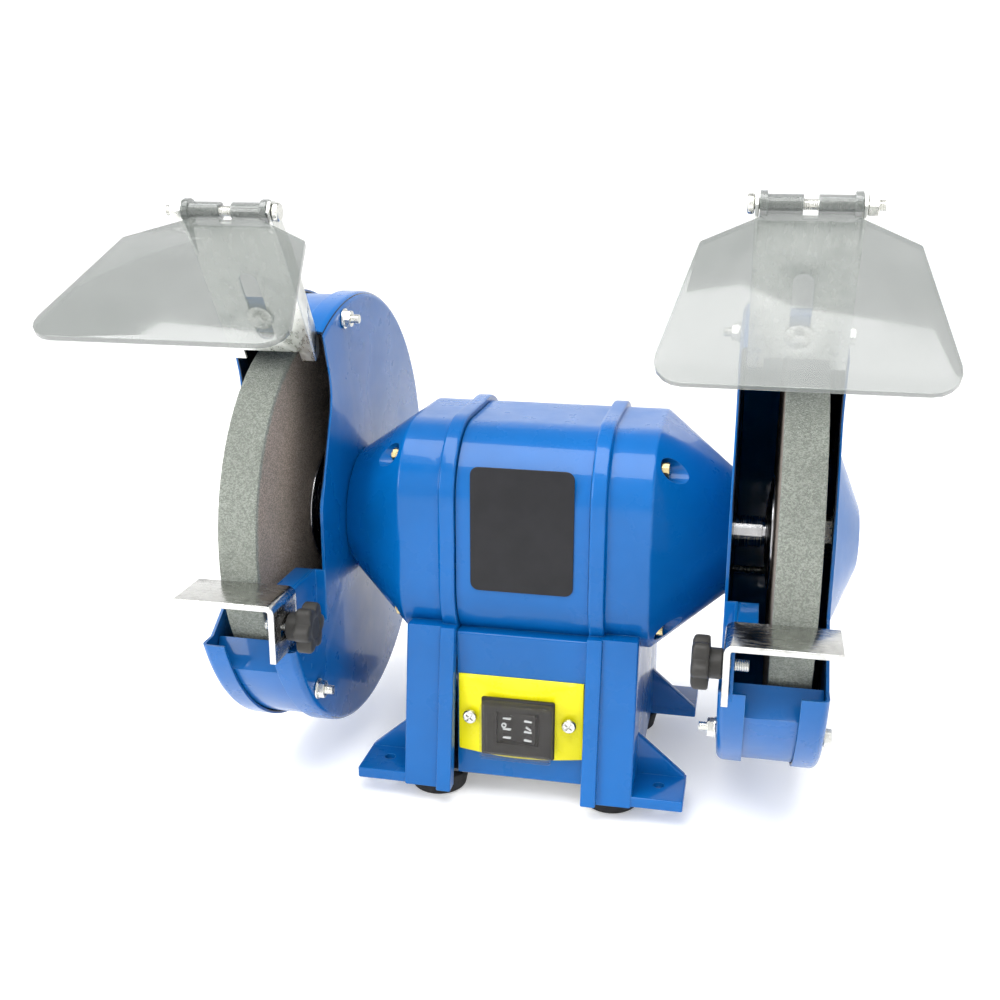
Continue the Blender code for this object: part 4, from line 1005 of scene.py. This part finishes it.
def make_wheel():
    """The grinding wheel: a turned disc whose skin stands in and out by fractions of a grain.

    The radius gets a sum of sines of the angle and height with unlike periods, so no two places repeat.
    """
    low, high = WHEEL_LOW.x, WHEEL_HIGH.x
    corner, bore, steps = 0.0008, 0.0082, 10
    side = np.linspace(0.012, WHEEL_RADIUS - 0.006, steps)
    profile = np.concatenate([
        [(bore, high)], np.stack([side, np.full(steps, high)], axis=1),
        [(WHEEL_RADIUS - corner, high), (WHEEL_RADIUS - corner * 0.3, high - corner * 0.3)],
        np.stack([np.full(12, WHEEL_RADIUS), np.linspace(high - corner, low + corner, 12)], axis=1),
        [(WHEEL_RADIUS - corner * 0.3, low + corner * 0.3), (WHEEL_RADIUS - corner, low)],
        np.stack([side[::-1], np.full(steps, low)], axis=1), [(bore, low)],
    ])
    radius, height = profile.T
    angle = ring(360)
    grain = np.sin(angle * 83 + height[:, None] * 2900) + np.sin(angle * 131 - height[:, None] * 4100)
    worn = np.where(radius[:, None] > WHEEL_RADIUS - 0.002, 0.00008 * grain - 0.00016, 0)
    reach = radius[:, None] + worn
    y, z = SHAFT_Y + reach * np.cos(angle), AXIS_Z + reach * np.sin(angle)
    points = placed("YZ", y, z, height[:, None] + 0 * angle)
    return surface("wheel", points, along=True)


def make_flange(outside):
    """A pressed wheel flange: a hollowed disc that bears on the wheel with its outer ring."""
    face, sign = (WHEEL_HIGH.x, 1) if outside else (WHEEL_LOW.x, -1)
    hub = 0.0300
    corners = [
        (0.0065, face + sign * GAP), (0.0200, face + sign * 0.0012), (hub - 0.005, face + sign * GAP),
        (hub, face + sign * GAP), (hub, face + sign * 0.0022), (0.0130, face + sign * 0.0045),
        (0.0065, face + sign * 0.0045),
    ]
    outline = rounded(corners, [0, 0.002, 0.0004, 0.0004, 0.0007, 0.002, 0], 4)
    return turned("flange", outline, (SHAFT_Y, AXIS_Z), 96, closed=True)


def make_knob():
    """A moulded knob: its radius swells by a rounded power of cos 6t into six lobes, over a plain hub."""
    face = KNOB_FACE_X
    angle = ring(144)
    lobes = 0.5 + 0.5 * np.cos(6 * angle)
    depth = np.array([0.0, 0.0006, 0.0014, 0.0025, 0.0062, 0.0072, 0.0078, 0.0080])
    swell = np.array([0.78, 0.93, 0.985, 1.0, 1.0, 0.985, 0.94, 0.70])
    back = face - 0.0138
    reach = swell[:, None] * (0.0092 + 0.0032 * lobes**0.7)
    crown_radius = np.array([0.0, 0.0052, 0.0060])
    crown_height = [back + 0.0006, back + 0.0006, back + 0.0001]
    waist = np.full((1, len(angle)), 0.0070)
    rows_radius = np.concatenate([crown_radius[:, None] + 0 * angle, reach, waist])
    rows_height = np.concatenate([crown_height, back + depth, [back + 0.0082]])
    y = STUD[0] + rows_radius * np.cos(angle)
    z = STUD[1] + rows_radius * np.sin(angle)
    head = surface("clamp_knob", placed("YZ", y, z, rows_height[:, None] + 0 * angle), caps=True)
    collar = [(0, face), (0.0064, face), (0.0070, face - 0.0006), (0.0070, back + 0.0070), (0, back + 0.0070)]
    hub = turned("hub", collar, STUD, 64)
    return join(head, hub)


def make_stud():
    """The knob's threaded stud, from just inside the knob to its end."""
    return thread("stud", STUD, 0.0029, KNOB_FACE_X - 0.001, KNOB_HIGH.x, 0.0010)


def make_foot(name):
    """A rubber foot: a turned button with a waist groove and a hollow under it."""
    low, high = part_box(name)
    centre = ((low.x + high.x) / 2, (low.y + high.y) / 2)
    radius, top = (high.x - low.x) / 2, high.z
    corners = [
        (0, 0.0040), (0.0050, 0.0040), (0.0050, 0.0), (radius - 0.0032, 0.0), (radius - 0.0016, 0.0012),
        (radius - 0.0004, top - 0.0040), (radius, top - 0.0025), (radius, top), (0, top),
    ]
    outline = rounded(corners, [0, 0.0008, 0.0006, 0.0010, 0.0010, 0.0006, 0.0004, 0.0006, 0], 4)
    return turned(name, outline, centre, 72, "Z")


# Switch and name plate


def make_switch_plate():
    """The yellow plate: a shallow pillow.

    With w the cosine of the place across it, its front stands out by bow * w, its top edge slopes down by
    drop * w towards the front and its lower edge hangs by sag * w.
    """
    half, back = PLATE_HIGH.x, PLATE_HIGH.y
    low, high, front = PLATE_LOW.z + 0.0016, PLATE_HIGH.z, PLATE_HIGH.y - 0.0012
    bow, drop, sag = 0.0034, 0.0050, 0.0016
    across = np.linspace(-1, 1, 49)
    w = np.cos(across * pi / 2)
    up = np.array([0.0, 0.0, 0.03, 0.10, 0.5, 0.90, 0.97, 1.0, 1.0])
    out = np.array([0.0, 0.72, 0.92, 1.0, 1.0, 1.0, 0.94, 0.80, 0.0])
    top = high - drop * w * np.minimum(out[:, None] / 0.8, 1)
    bottom = low - sag * w + 0 * top
    level = bottom + (top - bottom) * up[:, None]
    depth = back - (back - front + bow * w) * out[:, None]
    plate = surface("switch_plate", placed("XZ", (across * half)[:, None], level.T, depth.T), caps=True)
    near, far = back - 0.02, back + PAST
    wide, tall = 0.0152, 0.0127
    window = block("window", (-wide, near, SWITCH_Z - tall), (wide, far, SWITCH_Z + tall))
    holes = [
        prism("hole", "XZ", circle((x, PLATE_SCREW_Z), 0.0021), near, far, 0)
        for x in (-PLATE_SCREW_X, PLATE_SCREW_X)
    ]
    return cut(plate, window, *holes)


def make_plate_screw(name):
    """A pan head with a cross recess, on its threaded shank."""
    low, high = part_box(name)
    centre = ((low.x + high.x) / 2, PLATE_SCREW_Z)
    radius, front = (high.x - low.x) / 2, low.y
    profile = [
        (0, front), (radius * 0.55, front + 0.0001), (radius * 0.86, front + 0.0005),
        (radius * 0.99, front + 0.0013), (radius, front + 0.0021), (radius * 0.92, front + 0.0023),
        (0, front + 0.0023),
    ]
    head = turned(name, profile, centre, 64, "Y")
    recess = []
    for turn in (radians(38), radians(128)):
        slot = block("slot", (-0.0023, -0.0006, -0.00042), (0.0023, 0.0016, 0.00042))
        turn_about = Matrix.Rotation(turn, 4, "Y")
        recess.append(moved_by(slot, Matrix.Translation((centre[0], front, centre[1])) @ turn_about))
    cut(head, *recess)
    shank = thread("shank", centre, 0.0017, front + 0.002, high.y, 0.0006, "Y")
    return join(head, shank)


def make_switch_body():
    """The switch: a bezel with a sunk lip round the well of the rocker."""
    front = BEZEL_LOW.y
    bezel = block("switch_bezel", BEZEL_LOW, (BEZEL_HIGH.x, front + 0.0030, BEZEL_HIGH.z), 0.0008)
    box_half, box_tall = 0.0138, 0.0112
    box_low = (-box_half, front + 0.002, SWITCH_Z - box_tall)
    body = block("body", box_low, (box_half, BEZEL_HIGH.y, SWITCH_Z + box_tall), 0.0005)
    half, tall, deep = 0.0110, 0.0090, 0.0180
    well = block("well", (-half, front - PAST, SWITCH_Z - tall), (half, front + deep, SWITCH_Z + tall))
    join(bezel, body)
    return cut(bezel, well)


def make_rocker():
    """The rocker, turned to its rest tilt. Its face is a shallow hollow, y = face + rise * (1 - |u|^1.5)."""
    low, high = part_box("switch_rocker")
    pivot = JOINTS["switch_press"]["pos_m"]
    half, face, rise = 0.0100, -0.0065, 0.0017
    u = np.linspace(-1, 1, 25)
    front = np.stack([u * half, face + rise * (1 - np.abs(u) ** 1.5)], axis=1)
    outline = np.concatenate([front, [(half, 0.0040), (0, 0.0075), (-half, 0.0040)]])
    rocker = prism("rocker", "XY", outline, low.z, high.z, 0.0005)
    tilt = Matrix.Rotation(radians(-6), 4, "Z")
    place = Matrix.Translation((pivot[0], pivot[1], 0)) @ tilt
    return moved_by(rocker, place), place


def make_rocker_marks(place):
    """Plain marks printed on the rocker: a ring at one end, a bar at the other, and short dashes."""
    face = -0.0066
    proud, sunk = face - 0.0001, face + 0.0014
    middle = (-0.0068, SWITCH_Z + 0.0008)
    ring_mark = prism("ring_mark", "XZ", circle(middle, 0.0013, 32), proud, face + 0.0012, 0)
    hole = prism("hole", "XZ", circle(middle, 0.0008, 32), face - 0.001, face + 0.002, 0)
    bar_corners = ((0.0050, 0.0012), (0.0052, 0.0018), (0.0080, 0.0003), (0.0078, -0.0003))
    bar = [(x, SWITCH_Z + z) for x, z in bar_corners]
    marks = [cut(ring_mark, hole), prism("bar_mark", "XZ", bar, proud, sunk, 0)]
    half, thick = 0.0021, 0.00032
    for x in (-0.0052, 0.0062):
        for z in (-0.0060, 0.0, 0.0048):
            level = SWITCH_Z + z - (0.0012 if z == 0 else 0)
            dash = rounded(rectangle(x - half, level - thick, x + half, level + thick), 0.0002, 2)
            marks.append(prism("dash_mark", "XZ", dash, proud, sunk, 0))
    return [moved_by(mark, place) for mark in marks]


def make_switch_cover():
    """The clear cover: a shallow moulded box with a raised window, open behind."""
    low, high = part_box("switch_cover")
    outer = rounded(rectangle(low.x, low.z, high.x, high.z), 0.0022)
    cover = prism("switch_cover", "XZ", outer, low.y + 0.0012, high.y, 0.0009)
    inset = 0.0042
    window = rounded(
        rectangle(low.x + inset, low.z + inset, high.x - inset, high.z - inset), 0.0014
    )
    raised = prism("raised", "XZ", window, low.y, low.y + 0.0030, 0.0006)
    join(cover, raised)
    skin = 0.0013
    under = block(
        "under",
        (low.x + skin, low.y + skin + 0.001, low.z + skin),
        (high.x - skin, high.y + PAST, high.z - skin),
    )
    return cut(cover, under)


def make_label():
    """The blank name plate: a thin film with round corners."""
    outline = rounded(rectangle(LABEL_LOW.x, LABEL_LOW.z, LABEL_HIGH.x, LABEL_HIGH.z), 0.0042)
    return prism("name_plate", "XZ", outline, LABEL_LOW.y, LABEL_HIGH.y, 0.0002)


# Stage


def make_backdrop(colour):
    """Paper that lies flat under the object and rises all round it in a quarter circle.

    On the curve r = flat + rise * sin t and z = rise * (1 - cos t), and a straight wall goes on from it.
    """
    flat, rise = 2.3, 0.8
    turn = np.linspace(0, pi / 2, 24)
    radius = np.concatenate([[0.0, 0.6, 1.2], flat + rise * np.sin(turn), [flat + rise]])
    height = np.concatenate([[0.0, 0.0, 0.0], rise * (1 - np.cos(turn)), [3.2]])
    sheet = turned("backdrop", np.stack([radius, height], axis=1), (0, SHAFT_Y), 96, "Z")
    sheet.data.materials.append(floor_material(colour))


def make_light(name, place, target, size, energy):
    """A soft rectangular lamp that faces the target."""
    data = bpy.data.lights.new(name, "AREA")
    data.shape = "RECTANGLE"
    data.size, data.size_y = size
    data.energy = energy
    lamp = added(name, data)
    direction = Matrix.Translation(target).translation - Matrix.Translation(place).translation
    lamp.location = place
    lamp.rotation_euler = direction.to_track_quat("-Z", "Y").to_euler()


def make_camera():
    """The camera, turned by yaw about the vertical, then pitch and roll."""
    level = cos(CAMERA_PITCH)
    forward = np.array([-sin(CAMERA_YAW) * level, cos(CAMERA_YAW) * level, -sin(CAMERA_PITCH)])
    right = np.cross(forward, (0, 0, 1))
    right /= np.linalg.norm(right)
    up = np.cross(right, forward)
    rolled_right = right * cos(CAMERA_ROLL) + up * sin(CAMERA_ROLL)
    rolled_up = up * cos(CAMERA_ROLL) - right * sin(CAMERA_ROLL)
    matrix = Matrix.Identity(4)
    for column, axis in enumerate((rolled_right, rolled_up, -forward, CAMERA_PLACE)):
        for row in range(3):
            matrix[row][column] = axis[row]
    data = bpy.data.cameras.new("camera")
    data.lens = CAMERA_LENS
    data.sensor_width = 36.0
    data.shift_x, data.shift_y = CAMERA_SHIFT
    data.dof.use_dof = False
    data.clip_start = 0.01
    camera = added("camera", data)
    camera.matrix_world = matrix
    bpy.context.scene.camera = camera


# Properties, operators and panel


class GrinderColours(bpy.types.PropertyGroup):
    """Colours that a user would change."""

    paint: FloatVectorProperty(
        name="Paint", description="Enamel on the castings and guards",
        subtype="COLOR", default=(0.0004, 0.098, 0.335),
    )
    thin_paint: FloatVectorProperty(
        name="Thin paint", description="Enamel where it thins on edges",
        subtype="COLOR", default=(0.08, 0.26, 0.52),
    )
    plate: FloatVectorProperty(
        name="Switch plate", description="Moulded plate round the switch",
        subtype="COLOR", default=(0.74, 0.68, 0.007),
    )
    stone: FloatVectorProperty(
        name="Wheel face", description="Running face of the wheels",
        subtype="COLOR", default=(0.235, 0.255, 0.225),
    )
    stone_side: FloatVectorProperty(
        name="Wheel side", description="Sides of the wheels",
        subtype="COLOR", default=(0.290, 0.240, 0.205),
    )
    black: FloatVectorProperty(
        name="Switch", description="Switch bezel and rocker",
        subtype="COLOR", default=(0.014, 0.013, 0.012),
    )
    shield: FloatVectorProperty(
        name="Shields", description="Clear eye shields",
        subtype="COLOR", default=(0.115, 0.128, 0.120),
    )
    paper: FloatVectorProperty(
        name="Backdrop", description="Studio paper",
        subtype="COLOR", default=(0.86, 0.86, 0.86),
    )


class GrinderSizes(bpy.types.PropertyGroup):
    """Sizes that a user would change."""

    grit: FloatProperty(
        name="Grain", description="Width of one grain of the wheels",
        default=0.0006, unit="LENGTH", precision=5,
    )
    key_energy: FloatProperty(
        name="Key light", description="Power of the main light", default=28.0, unit="POWER"
    )
    world_strength: FloatProperty(
        name="Ambient", description="Strength of the sky", default=0.55
    )


class GRINDER_OT_materials(bpy.types.Operator):
    """Make every finish and give one to each part of the solid model"""

    bl_idname = "grinder.materials"
    bl_label = "Finishes"

    def execute(self, context):
        make_materials(context.scene.grinder_colours, context.scene.grinder_sizes)
        by_slot = {
            "blue_paint": "enamel", "lamination_steel": "laminations", "copper_winding": "copper",
            "bright_steel": "ground", "zinc_steel": "fastener", "black_rubber": "rubber",
            "black_plastic": "black", "yellow_plastic": "yellow", "grinding_stone": "stone",
            "clear_plastic": "shield",
        }
        slots = {part["node"]: part["material_slot"] for part in frame["record"]["subparts"]}
        for name, obj in frame["nodes"].items():
            for place in obj.material_slots:
                place.material = MATERIALS["gold" if "through_bolt" in name else by_slot[slots[name]]]
        return {"FINISHED"}


class GRINDER_OT_castings(bpy.types.Operator):
    """Build the three castings of the motor and base"""

    bl_idname = "grinder.castings"
    bl_label = "Castings"

    def execute(self, context):
        enamel = MATERIALS["enamel"]
        dress(make_centre_housing(), enamel, "blue_paint", "frame", "centre_housing")
        dress_pair("end_shell", make_end_casting(), enamel, "blue_paint", "frame", "{side}_end_casting")
        return {"FINISHED"}


class GRINDER_OT_guards(bpy.types.Operator):
    """Build the sheet guards round both wheels and their bolts"""

    bl_idname = "grinder.guards"
    bl_label = "Guards"

    def execute(self, context):
        paint = MATERIALS["guard"]
        dress_pair("guard_dish", make_inner_guard(), paint, "blue_paint", "frame", "{side}_inner_guard")
        dress_pair("cover_dish", make_outer_cover(), paint, "blue_paint", "frame", "{side}_outer_cover")
        outside = MATERIALS["enamel"]
        dress_pair("band_sheet", make_guard_band(), outside, "blue_paint", "frame", "{side}_guard_band")
        for place, angle in GUARD_BOLT_ANGLES.items():
            node_name = "{side}_guard_bolt_" + place
            bolt = make_guard_bolt(angle)
            dress_pair(f"cover_bolt_{place}", bolt, MATERIALS["fastener"], "zinc_steel", "frame", node_name)
        return {"FINISHED"}


class GRINDER_OT_wheels(bpy.types.Operator):
    """Build both grinding wheels and their flanges"""

    bl_idname = "grinder.wheels"
    bl_label = "Wheels"

    def execute(self, context):
        dress_pair("grit_wheel", make_wheel(), MATERIALS["stone"], "grinding_stone", "rotor", "{side}_wheel")
        for outside, name in ((False, "inner_flange"), (True, "outer_flange")):
            flange = make_flange(outside)
            steel = MATERIALS["ground"]
            dress_pair(f"{name}_disc", flange, steel, "zinc_steel", "rotor", "{side}_" + name)
        return {"FINISHED"}


class GRINDER_OT_rests(bpy.types.Operator):
    """Build the tool rests and their clamp knobs"""

    bl_idname = "grinder.rests"
    bl_label = "Tool rests"

    def execute(self, context):
        for side in ("right", "left"):
            rest = copied(f"{side}_rest_plate", f"{side}_tool_rest", width=0.0004, steps=3)
            dress(rest, MATERIALS["bright"], "zinc_steel", f"{side}_rest", f"{side}_tool_rest")
        head, plastic = make_knob(), MATERIALS["knob"]
        dress_pair("knob_head", head, plastic, "black_plastic", "{side}_knob", "{side}_clamp_knob")
        dress_pair("knob_stud", make_stud(), MATERIALS["fastener"], "zinc_steel", "{side}_knob")
        return {"FINISHED"}


class GRINDER_OT_shields(bpy.types.Operator):
    """Build the eye shields, their brackets, hinge bolts and clamping screws"""

    bl_idname = "grinder.shields"
    bl_label = "Eye shields"

    def execute(self, context):
        for side in ("right", "left"):
            bracket = copied(f"{side}_bracket_channel", f"{side}_shield_bracket", width=0.0003, steps=3)
            dress(bracket, MATERIALS["zinc"], "zinc_steel", f"{side}_bracket", f"{side}_shield_bracket")
            shield = copied(f"{side}_shield_plate", f"{side}_eye_shield", width=0.0005, steps=3)
            dress(shield, MATERIALS["shield"], "clear_plastic", f"{side}_shield", f"{side}_eye_shield")
            bolt = make_hinge_bolt(side)
            bolt.name = f"{side}_pivot_bolt"
            dress(bolt, MATERIALS["fastener"], "zinc_steel", f"{side}_bracket", f"{side}_hinge_bolt")
        screw = make_bracket_screw()
        dress_pair("slot_screw", screw, MATERIALS["fastener"], "zinc_steel", "frame", "{side}_bracket_screw")
        return {"FINISHED"}


class GRINDER_OT_switch(bpy.types.Operator):
    """Build the switch, its plate and cover, and the name plate"""

    bl_idname = "grinder.switch"
    bl_label = "Switch"

    def execute(self, context):
        dress(make_switch_plate(), MATERIALS["yellow"], "yellow_plastic", "frame", "switch_plate")
        for side in ("left", "right"):
            name = f"plate_screw_{side}"
            screw = make_plate_screw(name)
            screw.name = f"{side}_cross_screw"
            dress(screw, MATERIALS["fastener"], "zinc_steel", "frame", name)
        dress(make_switch_body(), MATERIALS["black"], "black_plastic", "frame", "switch_body")
        rocker, place = make_rocker()
        dress(rocker, MATERIALS["black"], "black_plastic", "switch_rocker", "switch_rocker")
        for i, mark in enumerate(make_rocker_marks(place)):
            mark.name = f"rocker_mark_{i}"
            dress(mark, MATERIALS["marks"], "black_plastic", "switch_rocker")
        dress(make_switch_cover(), MATERIALS["window"], "clear_plastic", "frame", "switch_cover")
        dress(make_label(), MATERIALS["label"], "black_plastic", "frame", "name_plate")
        return {"FINISHED"}


class GRINDER_OT_base(bpy.types.Operator):
    """Build the rubber feet and the rubber gland"""

    bl_idname = "grinder.base"
    bl_label = "Feet"

    def execute(self, context):
        for front in ("front", "rear"):
            for side in ("left", "right"):
                name = f"foot_{front}_{side}"
                foot = make_foot(name)
                foot.name = f"rubber_{name}"
                dress(foot, MATERIALS["rubber"], "black_rubber", "frame", name)
        gland = copied("gland_sleeve", "cable_gland", width=0.0004, steps=2)
        dress(gland, MATERIALS["rubber"], "black_rubber", "frame", "cable_gland")
        return {"FINISHED"}


class GRINDER_OT_stage(bpy.types.Operator):
    """Build the backdrop, lights and camera"""

    bl_idname = "grinder.stage"
    bl_label = "Studio"

    def execute(self, context):
        colours, sizes = context.scene.grinder_colours, context.scene.grinder_sizes
        make_backdrop(tuple(colours.paper))
        target = (0, SHAFT_Y, AXIS_Z)
        make_light("soft_box", (-0.15, -0.46, 1.24), target, (1.5, 0.9), sizes.key_energy)
        make_light("side", (-1.3, -1.2, 0.75), target, (0.7, 1.0), sizes.key_energy * 0.5)
        make_light("fill", (1.5, -0.9, 0.8), target, (0.9, 1.2), sizes.key_energy * 0.06)
        world = bpy.data.worlds.new("studio")
        world.use_nodes = True
        background = world.node_tree.nodes["Background"]
        background.inputs["Color"].default_value = (1.0, 1.0, 1.0, 1.0)
        background.inputs["Strength"].default_value = sizes.world_strength
        context.scene.world = world
        context.scene.view_settings.view_transform = "Standard"
        make_camera()
        return {"FINISHED"}


OPERATORS = (
    GRINDER_OT_materials, GRINDER_OT_castings, GRINDER_OT_base, GRINDER_OT_switch, GRINDER_OT_guards,
    GRINDER_OT_wheels, GRINDER_OT_rests, GRINDER_OT_shields, GRINDER_OT_stage,
)


class GRINDER_PT_panel(bpy.types.Panel):
    """Lists the grinder's steps and settings."""

    bl_idname = "GRINDER_PT_panel"
    bl_label = "Bench Grinder"
    bl_space_type = "VIEW_3D"
    bl_region_type = "UI"
    bl_category = "Grinder"

    def draw(self, context):
        for group in (context.scene.grinder_colours, context.scene.grinder_sizes):
            for name in group.__annotations__:
                self.layout.prop(group, name)
        for operator in OPERATORS:
            self.layout.operator(operator.bl_idname)


CLASSES = (GrinderColours, GrinderSizes, *OPERATORS, GRINDER_PT_panel)


def register():
    for cls in CLASSES:
        bpy.utils.register_class(cls)
    bpy.types.Scene.grinder_colours = PointerProperty(type=GrinderColours)
    bpy.types.Scene.grinder_sizes = PointerProperty(type=GrinderSizes)


def unregister():
    del bpy.types.Scene.grinder_sizes
    del bpy.types.Scene.grinder_colours
    for cls in reversed(CLASSES):
        bpy.utils.unregister_class(cls)


def main():
    """Registers the add-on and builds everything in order."""
    register()
    for operator in OPERATORS:
        category, name = operator.bl_idname.split(".")
        getattr(getattr(bpy.ops, category), name)()


if __name__ == "__main__":
    main()
